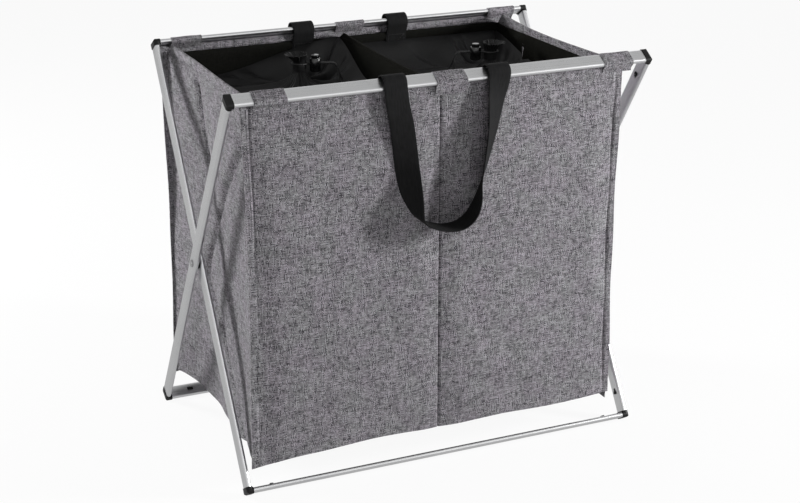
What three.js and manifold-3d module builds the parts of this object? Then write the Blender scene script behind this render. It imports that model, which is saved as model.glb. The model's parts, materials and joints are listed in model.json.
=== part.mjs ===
// Laundry hamper with two bins. A cloth bag hangs by loops from the top rails of two tube frames
// that cross on a pair of rivets, and a drawstring top closes each bin.
// Millimetres. +X runs along the rails, -Y is the front, +Z is up, and the feet stand at Z = 0.
import * as THREE from 'three';
import { mergeVertices } from 'three/addons/utils/BufferGeometryUtils.js';
import Module from 'manifold-3d';

const wasm = await Module();
wasm.setup();

// ---- Sizes ------------------------------------------------------------------------------------

// Clearance between pieces that touch or seat, and how far a cutting body runs past a wall.
const fitGap = 0.3;
const cutOverrun = 2;

// Flat-oval aluminium tube: deep across the frame, thin along it.
const tube = { depth: 21, thickness: 7, wall: 0.9 };

// Each frame is a rectangle of two rails and two legs. The outer one holds the front rail.
const frame = { legSpan: 600, railSpread: 346, railRise: 538, legGap: 2, footFlat: 0.6 };

// Moulded corner: a mitred elbow with a spigot and a snap nub for each tube.
const corner = {
  flange: 1,
  reach: 5.2,
  chamfer: 2.6,
  spigotLength: 38,
  nubPlace: 36,
  nubLength: 8,
  nubWidth: 5,
  nubRise: 1.6,
};

const rivet = {
  shankRadius: 2.8,
  runningGap: 0.1,
  headRadius: 5.6,
  headThickness: 1.6,
  spacerRadius: 8.5,
};

// Cloth thicknesses.
const cloth = { panel: 1.4, band: 1.2, loop: 1.2, lining: 0.8, divider: 2, skirt: 0.8 };

// The bag hangs a little to the left of the frame's middle.
const bag = {
  centre: -12,
  legRoom: 24.5,
  fin: 10.4,
  bottomHeight: 52,
  hemDepth: 26,
  hemTuck: 1,
  sideHemDepth: 12,
  bowTop: 6,
  bowBottom: 20,
  railNotch: 19,
  dividerDrop: 6,
};

// Cloth loops that the rails lie in.
const loop = { innerRadius: 10.9, width: 50, tail: 17, overhang: 1, centre: 2 };

// Webbing handle, one on each long side.
const handle = {
  width: 36,
  thickness: 1.8,
  innerRadius: 10.9,
  pitch: 154,
  drop: 212,
  tail: 34,
  tailFlare: 19,
  frontCentre: -5,
  rearCentre: 3,
};

// Drawstring tops: a rim sewn to the lining, a gathered neck and a ruffle above it.
const skirt = {
  rimDrop: 47,
  sag: 17,
  neckRadius: 9,
  neckRise: 12,
  ruffleRise: 13,
  ruffleRadius: 21,
  pleat: 2.2,
};

// Each neck: its place as shares of the bag's half width and half depth, its cord's depth under the
// rails' middle, and how its cord leaves it.
const neckPlaces = {
  left: { acrossShare: -0.369, rearShare: 0.475, drop: 25.7, cordTurn: -0.35 },
  right: { acrossShare: 0.7225, rearShare: 0.318, drop: 29.7, cordTurn: 2.86 },
};

const cord = { radius: 1.5, strandPitch: 3.8, reach: 42, loopWidth: 16, turn: -0.7 };

const lock = {
  place: 22,
  radius: 8,
  depth: 12,
  rise: 7,
  floor: 1.5,
  boreRadius: 5.9,
  rounding: 1.4,
  buttonRise: 12,
  buttonDepth: 4.2,
  press: 3.5,
  slide: 14,
};

const spring = { radius: 3.7, wireRadius: 0.4, turns: 4 };

// ---- Places that follow from the sizes ----------------------------------------------------------

const lean = Math.atan2(frame.railSpread, frame.railRise);
const halfLeg = Math.hypot(frame.railSpread, frame.railRise) / 2;
const innerSpan = frame.legSpan - 2 * (tube.thickness + frame.legGap);
const elbow = { depth: tube.depth + 2 * corner.flange, thickness: tube.thickness + 2 * corner.flange };
const lowestReach = ((elbow.depth - elbow.thickness) / 2) * Math.sin(lean) + elbow.thickness / 2;
const railLift = lowestReach - frame.footFlat;
const railTop = railLift + frame.railRise;
const railY = frame.railSpread / 2;
const nubLip = tube.thickness / 2 + corner.nubRise;
const halfWidth = innerSpan / 2 - tube.thickness / 2 - bag.legRoom;
const loopPitch = halfWidth + bag.fin + loop.overhang - loop.width / 2;
const neckAt = ({ acrossShare, rearShare, drop, cordTurn }) => ({
  x: acrossShare * halfWidth,
  y: rearShare * railY,
  height: railTop - drop,
  cordTurn,
});
const necks = { left: neckAt(neckPlaces.left), right: neckAt(neckPlaces.right) };

// Layers of the hem, measured from the rail's own plane: loop tails, then panel outside and band inside.
const tailOut = fitGap / 2 + cloth.loop;
const panelNear = tailOut + fitGap;
const panelFar = panelNear + cloth.panel;
const bandFar = panelNear + cloth.band;
const panelTop = railTop - loop.innerRadius - cloth.loop - fitGap;
const bandBottom = panelTop - bag.hemDepth;
const sideTop = railTop;
const innerWallY = railY + panelNear - fitGap;
const hemWallY = railY - bandFar - fitGap;
const notchY = railY - bag.railNotch;
const liningTop = bandBottom - bag.hemTuck;
const sideLiningTop = sideTop - bag.sideHemDepth - fitGap;
const bottomTop = bag.bottomHeight + cloth.panel;
const binX = cloth.divider / 2 + fitGap;
const rimHeight = railTop - skirt.rimDrop;

// ---- Building solids ----------------------------------------------------------------------------

const toManifold = (geometry) => {
  const bare = geometry.clone();
  bare.deleteAttribute('normal');
  bare.deleteAttribute('uv');
  const merged = mergeVertices(bare);
  return new wasm.Manifold(
    new wasm.Mesh({
      numProp: 3,
      vertProperties: new Float32Array(merged.attributes.position.array),
      triVerts: new Uint32Array(merged.index.array),
    }),
  );
};

const toGeometry = (manifold) => {
  const mesh = manifold.getMesh();
  const geometry = new THREE.BufferGeometry();
  geometry.setAttribute('position', new THREE.BufferAttribute(new Float32Array(mesh.vertProperties), 3));
  geometry.setIndex(new THREE.BufferAttribute(new Uint32Array(mesh.triVerts), 1));
  geometry.computeVertexNormals();
  return geometry;
};

const joined = (...geometries) =>
  toGeometry(geometries.map(toManifold).reduce((whole, next) => whole.add(next)));

const cut = (geometry, ...tools) =>
  toGeometry(tools.map(toManifold).reduce((left, tool) => left.subtract(tool), toManifold(geometry)));

const common = (a, b) => toGeometry(toManifold(a).intersect(toManifold(b)));

// A closed mesh from points and triangles, turned so that its faces point out.
const closedGeometry = (points, triangles) => {
  const volume = triangles.reduce(
    (sum, [a, b, c]) => sum + points[a].dot(points[b].clone().cross(points[c])),
    0,
  );
  const faces = volume < 0 ? triangles.map(([a, b, c]) => [a, c, b]) : triangles;
  const geometry = new THREE.BufferGeometry();
  geometry.setAttribute(
    'position',
    new THREE.Float32BufferAttribute(
      points.flatMap((p) => [p.x, p.y, p.z]),
      3,
    ),
  );
  geometry.setIndex(faces.flat());
  geometry.computeVertexNormals();
  return geometry;
};

// The same shape seen in a mirror, or with two axes exchanged.
const reflected = (geometry, matrix) => {
  const copy = geometry.clone();
  copy.applyMatrix4(matrix);
  const index = Array.from(copy.index.array);
  const turned = [];
  for (let i = 0; i < index.length; i += 3) {
    turned.push(index[i], index[i + 2], index[i + 1]);
  }
  copy.setIndex(turned);
  copy.computeVertexNormals();
  return copy;
};

const mirrorX = new THREE.Matrix4().makeScale(-1, 1, 1);
const mirrorZ = new THREE.Matrix4().makeScale(1, 1, -1);
const swapXZ = new THREE.Matrix4().set(0, 0, 1, 0, 0, 1, 0, 0, 1, 0, 0, 0, 0, 0, 0, 1);

const ringFaces = (rowA, rowB, wrap) => {
  const faces = [];
  const count = rowA.length;
  for (let i = 0; i < (wrap ? count : count - 1); i += 1) {
    const j = (i + 1) % count;
    faces.push([rowA[i], rowA[j], rowB[j]], [rowA[i], rowB[j], rowB[i]]);
  }
  return faces;
};

// A skin of cloth: one face through the rows of "upper", the other through those of "lower".
// With "wrap" each row closes on itself, and with "floor" the first rows are closed across.
const skin = (upper, lower, { wrap = false, floor = false } = {}) => {
  const points = [];
  const number = (rows) => rows.map((row) => row.map((p) => points.push(p) - 1));
  const a = number(upper);
  const b = number(lower);
  const faces = [];
  const last = a.length - 1;
  for (let r = 0; r < last; r += 1) {
    faces.push(...ringFaces(a[r], a[r + 1], wrap));
    faces.push(...ringFaces(b[r], b[r + 1], wrap).map(([i, j, k]) => [i, k, j]));
  }
  faces.push(...ringFaces(a[last], b[last], wrap));
  if (floor) {
    const centre = (row) => {
      const sum = row.reduce((s, p) => s.add(p), new THREE.Vector3());
      return points.push(sum.divideScalar(row.length)) - 1;
    };
    const underside = centre(upper[0]);
    const topside = centre(lower[0]);
    a[0].forEach((v, i) => faces.push([underside, a[0][(i + 1) % a[0].length], v]));
    b[0].forEach((v, i) => faces.push([topside, v, b[0][(i + 1) % b[0].length]]));
  } else {
    faces.push(...ringFaces(b[0], a[0], wrap));
  }
  if (!wrap) {
    const firstColumn = [a.map((row) => row[0]), b.map((row) => row[0])];
    const lastColumn = [a.map((row) => row[row.length - 1]), b.map((row) => row[row.length - 1])];
    faces.push(...ringFaces(firstColumn[0], firstColumn[1], false));
    faces.push(...ringFaces(lastColumn[1], lastColumn[0], false));
  }
  return closedGeometry(points, faces);
};

// A solid through closed rings of points, capped at both ends.
const loft = (rings) => {
  const points = [];
  const rows = rings.map((ring) => ring.map((p) => points.push(p) - 1));
  const faces = [];
  for (let r = 0; r < rows.length - 1; r += 1) {
    faces.push(...ringFaces(rows[r], rows[r + 1], true));
  }
  const first = rows[0];
  const end = rows[rows.length - 1];
  for (let i = 1; i < first.length - 1; i += 1) {
    faces.push([first[0], first[i + 1], first[i]]);
    faces.push([end[0], end[i], end[i + 1]]);
  }
  return closedGeometry(points, faces);
};

// A round cord or wire along a run of points.
const wire = (path, radius, sides) => {
  const rings = [];
  let across = null;
  path.forEach((point, i) => {
    const before = path[Math.max(i - 1, 0)];
    const after = path[Math.min(i + 1, path.length - 1)];
    const along = after.clone().sub(before).normalize();
    const start = across ?? new THREE.Vector3(0, 0, 1);
    across = start.clone().addScaledVector(along, -start.dot(along)).normalize();
    const other = along.clone().cross(across);
    const ring = [];
    for (let k = 0; k < sides; k += 1) {
      const angle = (2 * Math.PI * k) / sides;
      ring.push(
        point
          .clone()
          .addScaledVector(across, radius * Math.cos(angle))
          .addScaledVector(other, radius * Math.sin(angle)),
      );
    }
    rings.push(ring);
  });
  return loft(rings);
};

const flatOval = (depth, thickness, path = new THREE.Shape()) => {
  const end = (depth - thickness) / 2;
  const radius = thickness / 2;
  path.absarc(0, end, radius, 0, Math.PI, false);
  path.absarc(0, -end, radius, Math.PI, 2 * Math.PI, false);
  path.closePath();
  return path;
};

const extruded = (shape, length, curveSegments) =>
  new THREE.ExtrudeGeometry(shape, { depth: length, bevelEnabled: false, curveSegments });

const ovalSteps = 6;
const ovalBar = (depth, thickness, from, to) =>
  extruded(flatOval(depth, thickness), to - from, ovalSteps).translate(0, 0, from);

// An outline in X and Z, given depth along Y about the middle.
const plateXZ = (corners, width) => {
  const shape = new THREE.Shape(corners.map(([x, z]) => new THREE.Vector2(x, z)));
  return extruded(shape, width, 1).rotateX(Math.PI / 2).translate(0, width / 2, 0);
};

// An outline in Y and Z, given length along X about the middle.
const stripYZ = (shape, length, curveSegments) => {
  const turn = new THREE.Matrix4().set(0, 0, 1, 0, 1, 0, 0, 0, 0, 1, 0, 0, 0, 0, 0, 1);
  return extruded(shape, length, curveSegments).applyMatrix4(turn).translate(-length / 2, 0, 0);
};

// A band of constant thickness along a run of points, as an outline.
const ribbon = (run, thickness) => {
  const side = (sign) =>
    run.map((p, i) => {
      const into = p.clone().sub(run[Math.max(i - 1, 0)]);
      const out = run[Math.min(i + 1, run.length - 1)].clone().sub(p);
      const a = (i === 0 ? out : into).normalize();
      const b = (i === run.length - 1 ? into : out).normalize();
      const bisector = a.clone().add(b).normalize();
      const reach = thickness / 2 / Math.max(bisector.dot(a), 1 / 2);
      return new THREE.Vector2(p.x - sign * reach * bisector.y, p.y + sign * reach * bisector.x);
    });
  return new THREE.Shape([...side(1), ...side(-1).reverse()]);
};

const group = new THREE.Group();
const sack = new THREE.Group();
sack.position.x = bag.centre;
group.add(sack);

const colours = {
  aluminium: { color: 0xc9cacb, roughness: 0.3, metalness: 1 },
  plastic: { color: 0x1b1b1c, roughness: 0.5, metalness: 0 },
  melange: { color: 0x75727a, roughness: 0.95, metalness: 0 },
  lining: { color: 0x1a1b18, roughness: 0.9, metalness: 0 },
  webbing: { color: 0x161616, roughness: 0.85, metalness: 0 },
  skirt: { color: 0x151516, roughness: 0.75, metalness: 0 },
  gloss: { color: 0x0c0c0d, roughness: 0.15, metalness: 0 },
  steel: { color: 0x9a9c9e, roughness: 0.35, metalness: 1 },
};

const piece = (parent, name, geometry, colour) => {
  const mesh = new THREE.Mesh(geometry, new THREE.MeshStandardMaterial(colours[colour]));
  mesh.name = name;
  parent.add(mesh);
  return mesh;
};

// ---- Tubes --------------------------------------------------------------------------------------

const hollowBar = (length) => {
  const shape = flatOval(tube.depth, tube.thickness);
  const bore = flatOval(tube.depth - 2 * tube.wall, tube.thickness - 2 * tube.wall, new THREE.Path());
  shape.holes.push(bore);
  return extruded(shape, length, ovalSteps).translate(0, 0, -length / 2);
};

// A tube along Z whose inner face, where the nubs snap through, looks along +X.
const snapTube = (between, holes) => {
  const window = new THREE.BoxGeometry(
    tube.thickness / 2 + cutOverrun,
    corner.nubWidth + 2 * fitGap,
    corner.nubLength + 2 * fitGap,
  ).translate((tube.thickness / 2 + cutOverrun) / 2, 0, 0);
  const nubAt = between / 2 - corner.nubPlace;
  const bar = hollowBar(between - 2 * (corner.reach + fitGap));
  return cut(bar, window.clone().translate(0, 0, nubAt), window.clone().translate(0, 0, -nubAt), ...holes);
};

const roundSteps = 24;
const rivetHole = new THREE.CylinderGeometry(
  rivet.shankRadius + rivet.runningGap,
  rivet.shankRadius + rivet.runningGap,
  tube.thickness + 2 * cutOverrun,
  roundSteps,
).rotateZ(Math.PI / 2);

const leg = snapTube(2 * halfLeg, [rivetHole]);
const rail = (span) => snapTube(span, []).rotateY(Math.PI / 2);

// ---- Corner connectors --------------------------------------------------------------------------

// One arm of the elbow, reaching down -Z, with the half of the mitre that belongs to it.
const cornerArm = () => {
  const half = elbow.thickness / 2;
  const far = corner.reach + elbow.thickness;
  const stub = ovalBar(elbow.depth, elbow.thickness, -corner.reach, half);
  const belowMitre = plateXZ(
    [
      [-far, -far],
      [far, -far],
      [far, far],
    ],
    elbow.depth + 2 * cutOverrun,
  );
  const spigot = {
    depth: tube.depth - 2 * (tube.wall + fitGap),
    thickness: tube.thickness - 2 * (tube.wall + fitGap),
  };
  const plug = ovalBar(
    spigot.depth,
    spigot.thickness,
    -corner.reach - corner.spigotLength,
    -corner.reach + corner.flange,
  );
  const step = -corner.nubPlace + corner.nubLength / 2;
  const nub = plateXZ(
    [
      [0, step],
      [-nubLip, step],
      [-nubLip, step - corner.nubLength / 3],
      [-spigot.thickness / 2, step - corner.nubLength],
      [0, step - corner.nubLength],
    ],
    corner.nubWidth,
  );
  return joined(common(stub, belowMitre), plug, nub);
};

const arm = cornerArm();

// The elbow at the top right. "stance" is 0 at the top, and tells which way a foot's tube leans.
const elbowSolid = (stance) => {
  const half = elbow.thickness / 2;
  const past = half + cutOverrun;
  const bevel = plateXZ(
    [
      [half - corner.chamfer - cutOverrun, past],
      [past, half - corner.chamfer - cutOverrun],
      [past, past],
    ],
    elbow.depth + 2 * cutOverrun,
  );
  const whole = joined(arm, reflected(arm, swapXZ));
  if (stance === 0) {
    return cut(whole, bevel);
  }
  const slab = elbow.depth;
  const floorCut = new THREE.BoxGeometry(2 * slab, 2 * slab, slab)
    .translate(0, 0, railLift + slab / 2)
    .rotateX(stance * lean);
  return cut(whole, bevel, floorCut);
};

// ---- The two frames -----------------------------------------------------------------------------

const buildFrame = (prefix, span, stance) => {
  const whole = new THREE.Group();
  whole.position.set(0, 0, railLift + frame.railRise / 2);
  whole.rotation.x = stance * lean;
  const railBar = rail(span);
  const topRail = piece(whole, `${prefix}_top_rail`, railBar, 'aluminium');
  topRail.position.z = halfLeg;
  const bottomRail = piece(
    whole,
    `${prefix}_bottom_rail`,
    railBar.clone().rotateX(Math.PI),
    'aluminium',
  );
  bottomRail.position.z = -halfLeg;
  const headElbow = elbowSolid(0);
  const footElbow = elbowSolid(stance);
  [-1, 1].forEach((side) => {
    const word = side < 0 ? 'left' : 'right';
    const tubeLeg = piece(
      whole,
      `${prefix}_leg_${word}`,
      side < 0 ? leg.clone() : leg.clone().rotateZ(Math.PI),
      'aluminium',
    );
    tubeLeg.position.x = (side * span) / 2;
    const head = piece(
      whole,
      `${prefix}_corner_top_${word}`,
      side < 0 ? reflected(headElbow, mirrorX) : headElbow.clone(),
      'plastic',
    );
    head.position.set((side * span) / 2, 0, halfLeg);
    const dropped = reflected(footElbow, mirrorZ);
    const foot = piece(
      whole,
      `${prefix}_corner_bottom_${word}`,
      side < 0 ? reflected(dropped, mirrorX) : dropped,
      'plastic',
    );
    foot.position.set((side * span) / 2, 0, -halfLeg);
  });
  group.add(whole);
};

buildFrame('outer', frame.legSpan, 1);
buildFrame('inner', innerSpan, -1);

// ---- Pivot --------------------------------------------------------------------------------------

const turned = (profile, segments) =>
  new THREE.LatheGeometry(
    profile.map(([radius, height]) => new THREE.Vector2(radius, height)),
    segments,
  );

[-1, 1].forEach((side) => {
  const word = side < 0 ? 'left' : 'right';
  const pivotHeight = railLift + frame.railRise / 2;
  const outside = frame.legSpan / 2 + tube.thickness / 2 + fitGap;
  const inside = innerSpan / 2 - tube.thickness / 2 - fitGap;
  const domed = rivet.headRadius - rivet.headThickness / 2;
  const pin = turned(
    [
      [0, inside - rivet.headThickness],
      [domed, inside - rivet.headThickness],
      [rivet.headRadius, inside],
      [rivet.shankRadius, inside],
      [rivet.shankRadius, outside],
      [rivet.headRadius, outside],
      [domed, outside + rivet.headThickness],
      [0, outside + rivet.headThickness],
    ],
    roundSteps,
  ).rotateZ((-side * Math.PI) / 2);
  piece(group, `pivot_rivet_${word}`, pin, 'steel').position.z = pivotHeight;
  const ringInner = rivet.shankRadius + rivet.runningGap;
  const thick = frame.legGap - 2 * fitGap;
  const washer = turned(
    [
      [ringInner, -thick / 2],
      [rivet.spacerRadius, -thick / 2],
      [rivet.spacerRadius, thick / 2],
      [ringInner, thick / 2],
      [ringInner, -thick / 2],
    ],
    roundSteps,
  ).rotateZ(Math.PI / 2);
  piece(group, `pivot_spacer_${word}`, washer, 'plastic').position.set(
    side * ((frame.legSpan - tube.thickness - frame.legGap) / 2),
    0,
    pivotHeight,
  );
});

// ---- Bag panels ---------------------------------------------------------------------------------

// How far a side panel is drawn in, at a place along Y and a height.
const bow = (y, z) => {
  const up = (z - bag.bottomHeight) / (sideTop - bag.bottomHeight);
  const depth = THREE.MathUtils.lerp(bag.bowBottom, bag.bowTop, up);
  return depth * (1 - (y / innerWallY) ** 2);
};

const sideX = (y, z, inset) => halfWidth - bow(y, z) - inset;

const longPanel = (name, front) => {
  const height = panelTop - bag.bottomHeight;
  const panel = piece(
    sack,
    name,
    new THREE.BoxGeometry(2 * (halfWidth + bag.fin), cloth.panel, height),
    'melange',
  );
  panel.position.set(0, front * (railY + (panelNear + panelFar) / 2), bag.bottomHeight + height / 2);
};

longPanel('front_panel', -1);
longPanel('rear_panel', 1);

// Places along Y where every bowed wall has its folds, so that walls lie flat on each other.
const sideColumns = 12;
const innerColumnsShare = 0.97;
const bowStops = [];
for (let i = 0; i <= sideColumns; i += 1) {
  bowStops.push(innerColumnsShare * notchY * ((2 * i) / sideColumns - 1));
}

const lastStop = bowStops[sideColumns];

// Rows of a side panel, each a height and how far it runs along Y there.
const sideSheet = (side, rows, inset, thickness) => {
  const face = (depth) =>
    rows.map(({ height, run }) => {
      const between = (run + lastStop) / 2;
      return [-run, -between, ...bowStops, between, run].map(
        (y) => new THREE.Vector3(side * sideX(y, height, depth), y, height),
      );
    });
  return skin(face(inset), face(inset + thickness));
};

// Height where the long walls step in, just below the hem's band.
const shoulder = bandBottom - 2 * fitGap - bag.hemTuck;
const wallShares = [0.25, 0.5, 0.75];
const wallHeights = wallShares.map((share) => THREE.MathUtils.lerp(bag.bottomHeight, bandBottom, share));
const sideRows = [
  { height: bag.bottomHeight, run: innerWallY },
  ...wallHeights.map((height) => ({ height, run: innerWallY })),
  { height: shoulder, run: innerWallY },
  { height: bandBottom - fitGap, run: hemWallY },
  { height: panelTop - loop.innerRadius / 4, run: hemWallY },
  { height: sideTop, run: notchY },
];

const sideHemRows = [
  { height: sideTop - bag.sideHemDepth, run: notchY },
  { height: sideTop, run: notchY - fitGap },
];

[-1, 1].forEach((side) => {
  const word = side < 0 ? 'left' : 'right';
  piece(sack, `${word}_side_panel`, sideSheet(side, sideRows, 0, cloth.panel), 'melange');
  const hem = sideSheet(side, sideHemRows, cloth.panel + fitGap, cloth.band);
  piece(sack, `${word}_hem_band`, hem, 'melange');
});

const bottomOutline = () => {
  const edge = [-innerWallY, ...bowStops, innerWallY].map(
    (y) => new THREE.Vector2(sideX(y, bag.bottomHeight, cloth.panel + fitGap), y),
  );
  const back = edge.map((p) => new THREE.Vector2(-p.x, p.y)).reverse();
  return new THREE.Shape([...edge, ...back]);
};
piece(
  sack,
  'bottom_panel',
  extruded(bottomOutline(), cloth.panel, 1).translate(0, 0, bag.bottomHeight),
  'melange',
);

// The bands that face the hem inside, front and rear.
const longBand = (name, front) => {
  const band = piece(
    sack,
    name,
    new THREE.BoxGeometry(2 * (halfWidth + bag.fin), cloth.band, bag.hemDepth),
    'melange',
  );
  const y = front * (railY - (panelNear + bandFar) / 2);
  band.position.set(0, y, panelTop - bag.hemDepth / 2);
};

longBand('front_hem_band', -1);
longBand('rear_hem_band', 1);

const dividerTop = sideTop - bag.dividerDrop;
const dividerHalf = [
  [innerWallY, bottomTop + fitGap],
  [innerWallY, liningTop],
  [hemWallY, bandBottom - fitGap],
  [hemWallY, panelTop - fitGap],
  [notchY, dividerTop],
];
const dividerShape = new THREE.Shape(
  [...dividerHalf, ...dividerHalf.map(([y, z]) => [-y, z]).reverse()].map(
    ([y, z]) => new THREE.Vector2(y, z),
  ),
);
piece(sack, 'divider_panel', stripYZ(dividerShape, cloth.divider, 1), 'lining');

// ---- Linings ------------------------------------------------------------------------------------

// The bin's outline at a height, drawn in by "inset", for the bin on the +X side.
const binOutline = (z, inset) => {
  const ends = [innerWallY - inset, (innerWallY + lastStop) / 2];
  const front = ends.map((y) => -y);
  const rear = ends.slice().reverse();
  const outerX = (y) => sideX(y, z, cloth.panel + fitGap + inset);
  const outer = [...front, ...bowStops, ...rear].map((y) => [outerX(y), y]);
  const middle = [...front, -lastStop, lastStop, ...rear].reverse().map((y) => [binX + inset, y]);
  return [...outer, ...middle];
};

const liningSkin = (side) => {
  const face = (inset, floorHeight) => {
    const flat = (z) => binOutline(z, inset).map(([x, y]) => new THREE.Vector3(side * x, y, z));
    const edge = flat(sideLiningTop).map((p) => {
      const height = Math.abs(p.y) > notchY ? liningTop : sideLiningTop;
      return p.setZ(height);
    });
    return [flat(floorHeight), ...wallHeights.map(flat), flat(shoulder), edge];
  };
  const under = bottomTop + fitGap;
  return skin(face(0, under), face(cloth.lining, under + cloth.lining), { wrap: true, floor: true });
};

piece(sack, 'left_bin_lining', liningSkin(-1), 'lining');
piece(sack, 'right_bin_lining', liningSkin(1), 'lining');

// ---- Loops on the rails -------------------------------------------------------------------------

const arcSteps = 22;
const arcRun = (radius, from, to) => {
  const run = [];
  for (let i = 0; i <= arcSteps; i += 1) {
    const angle = THREE.MathUtils.lerp(from, to, i / arcSteps);
    run.push(new THREE.Vector2(radius * Math.cos(angle), radius * Math.sin(angle)));
  }
  return run;
};

const loopSolid = () => {
  const radius = loop.innerRadius + cloth.loop / 2;
  const tailY = (fitGap + cloth.loop) / 2;
  const slit = Math.asin(tailY / radius);
  const tailEnd = -radius - loop.tail;
  const around = arcRun(radius, -Math.PI / 2 - slit, (-5 * Math.PI) / 2 + slit);
  const run = [new THREE.Vector2(-tailY, tailEnd), ...around, new THREE.Vector2(tailY, tailEnd)];
  return stripYZ(ribbon(run, cloth.loop), loop.width, 1);
};

const loopShape = loopSolid();
[
  ['front', -1],
  ['rear', 1],
].forEach(([row, front]) => {
  ['left', 'centre', 'right'].forEach((word, i) => {
    const place = piece(group, `${row}_loop_${word}`, loopShape.clone(), 'melange');
    place.position.set(loop.centre + (i - 1) * loopPitch, front * railY, railTop);
  });
});

// ---- Handles ------------------------------------------------------------------------------------

const strapRadius = handle.innerRadius + handle.thickness / 2;

// The sewn end: up the inside of the band and over the rail to its outer side.
const anchorSolid = () => {
  const tailY = -(bandFar + fitGap + handle.thickness / 2);
  const foot = -(railTop - panelTop) - handle.tail;
  const leaves = Math.PI + Math.atan2(strapRadius - Math.abs(tailY), handle.tailFlare);
  const run = [
    new THREE.Vector2(tailY, foot),
    new THREE.Vector2(tailY, -handle.tailFlare),
    ...arcRun(strapRadius, leaves, 0),
  ];
  return stripYZ(ribbon(run, handle.thickness), handle.width, 1);
};

// The free strap: shares of half the pitch and of the drop that its middle line passes through.
const strapRunShares = [
  [1, 0],
  [0.9, 0.16],
  [0.78, 0.36],
  [0.71, 0.58],
  [0.68, 0.75],
  [0.58, 0.89],
  [0.34, 0.975],
  [0, 1],
];
const twistStartShare = 0.5;
const twistEndShare = 0.93;
const strapSteps = 44;

const strapSolid = () => {
  const half = strapRunShares.map(
    ([across, down]) => new THREE.Vector3((-across * handle.pitch) / 2, 0, -down * handle.drop),
  );
  const other = half.slice(0, -1).map((p) => new THREE.Vector3(-p.x, 0, p.z));
  const curve = new THREE.CatmullRomCurve3([...half, ...other.reverse()]);
  const top = -fitGap;
  const rings = [];
  for (let i = 0; i <= strapSteps; i += 1) {
    const share = i / strapSteps;
    const middle = curve.getPointAt(share);
    const ends = i === 0 || i === strapSteps;
    const along = ends ? new THREE.Vector3(0, 0, i ? 1 : -1) : curve.getTangentAt(share);
    const twist =
      (Math.PI / 2) *
      THREE.MathUtils.smoothstep(-middle.z / handle.drop, twistStartShare, twistEndShare);
    const side = along.clone().cross(new THREE.Vector3(0, 1, 0));
    const out = new THREE.Vector3(0, 1, 0);
    const wide = side.clone().multiplyScalar(Math.cos(twist)).addScaledVector(out, Math.sin(twist));
    const thick = side.clone().multiplyScalar(-Math.sin(twist)).addScaledVector(out, Math.cos(twist));
    const clear = panelFar + fitGap + handle.thickness + (handle.width / 2) * Math.sin(twist);
    middle.y = Math.max(strapRadius, clear);
    middle.z = Math.min(middle.z, 0) + top;
    const w = handle.width / 2;
    const t = handle.thickness / 2;
    rings.push(
      [
        [w, t],
        [-w, t],
        [-w, -t],
        [w, -t],
      ].map(([a, b]) => middle.clone().addScaledVector(wide, a).addScaledVector(thick, b)),
    );
  }
  return loft(rings);
};

// Built for the rear rail, and turned half a circle about Z for the front one.
const anchorShape = anchorSolid();
const strapShape = strapSolid();
[
  ['front', -1, handle.frontCentre],
  ['rear', 1, handle.rearCentre],
].forEach(([row, front, centre]) => {
  const side = new THREE.Group();
  side.position.set(centre, front * railY, railTop);
  side.rotation.z = front < 0 ? Math.PI : 0;
  [-1, 1].forEach((hand) => {
    const word = hand * front > 0 ? 'right' : 'left';
    const end = piece(side, `${row}_handle_end_${word}`, anchorShape.clone(), 'webbing');
    end.position.x = (hand * handle.pitch) / 2;
  });
  piece(side, `${row}_handle`, strapShape.clone(), 'webbing');
  group.add(side);
});

// ---- Drawstring tops ----------------------------------------------------------------------------

const sideSteps = 10;
const endSteps = 8;
const skirtPoints = 2 * (sideSteps + endSteps);

// Points round the bin at the rim's height, with one in each corner.
const rimRing = (side) => {
  const inset = cloth.lining + cloth.skirt + fitGap;
  const wall = innerWallY - inset;
  const outerX = (y) => sideX(y, rimHeight, cloth.panel + fitGap + inset);
  const middleX = binX + inset;
  const ring = [];
  const walk = (steps, place) => {
    for (let i = 0; i < steps; i += 1) {
      const [x, y] = place(i / steps);
      ring.push(new THREE.Vector3(side * x, y, rimHeight));
    }
  };
  const { lerp } = THREE.MathUtils;
  walk(sideSteps, (share) => [outerX(lerp(-wall, wall, share)), lerp(-wall, wall, share)]);
  walk(endSteps, (share) => [lerp(outerX(wall), middleX, share), wall]);
  walk(sideSteps, (share) => [middleX, lerp(wall, -wall, share)]);
  walk(endSteps, (share) => [lerp(middleX, outerX(wall), share), -wall]);
  return ring;
};

// The fall of the cloth: share of the way in, share of the sag, share of the pleat.
const fallShares = [
  [0, 0, 0],
  [0.04, -0.12, 0],
  [0.25, -0.62, 0.3],
  [0.5, -0.9, 0.9],
  [0.7, -0.85, 1],
  [0.85, -0.6, 1],
  [0.95, -0.1, 0.6],
];
// The neck and ruffle: share of the rise above the cord or below it, and of the ruffle's spread.
const neckShares = [
  [-1, 0.05],
  [-0.4, 0],
  [0.35, 0],
];
const ruffleLeanShare = 0.85;
const ruffleShares = [
  [0.45, 0.25],
  [0.85, 0.65],
  [1, 1],
];

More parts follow.
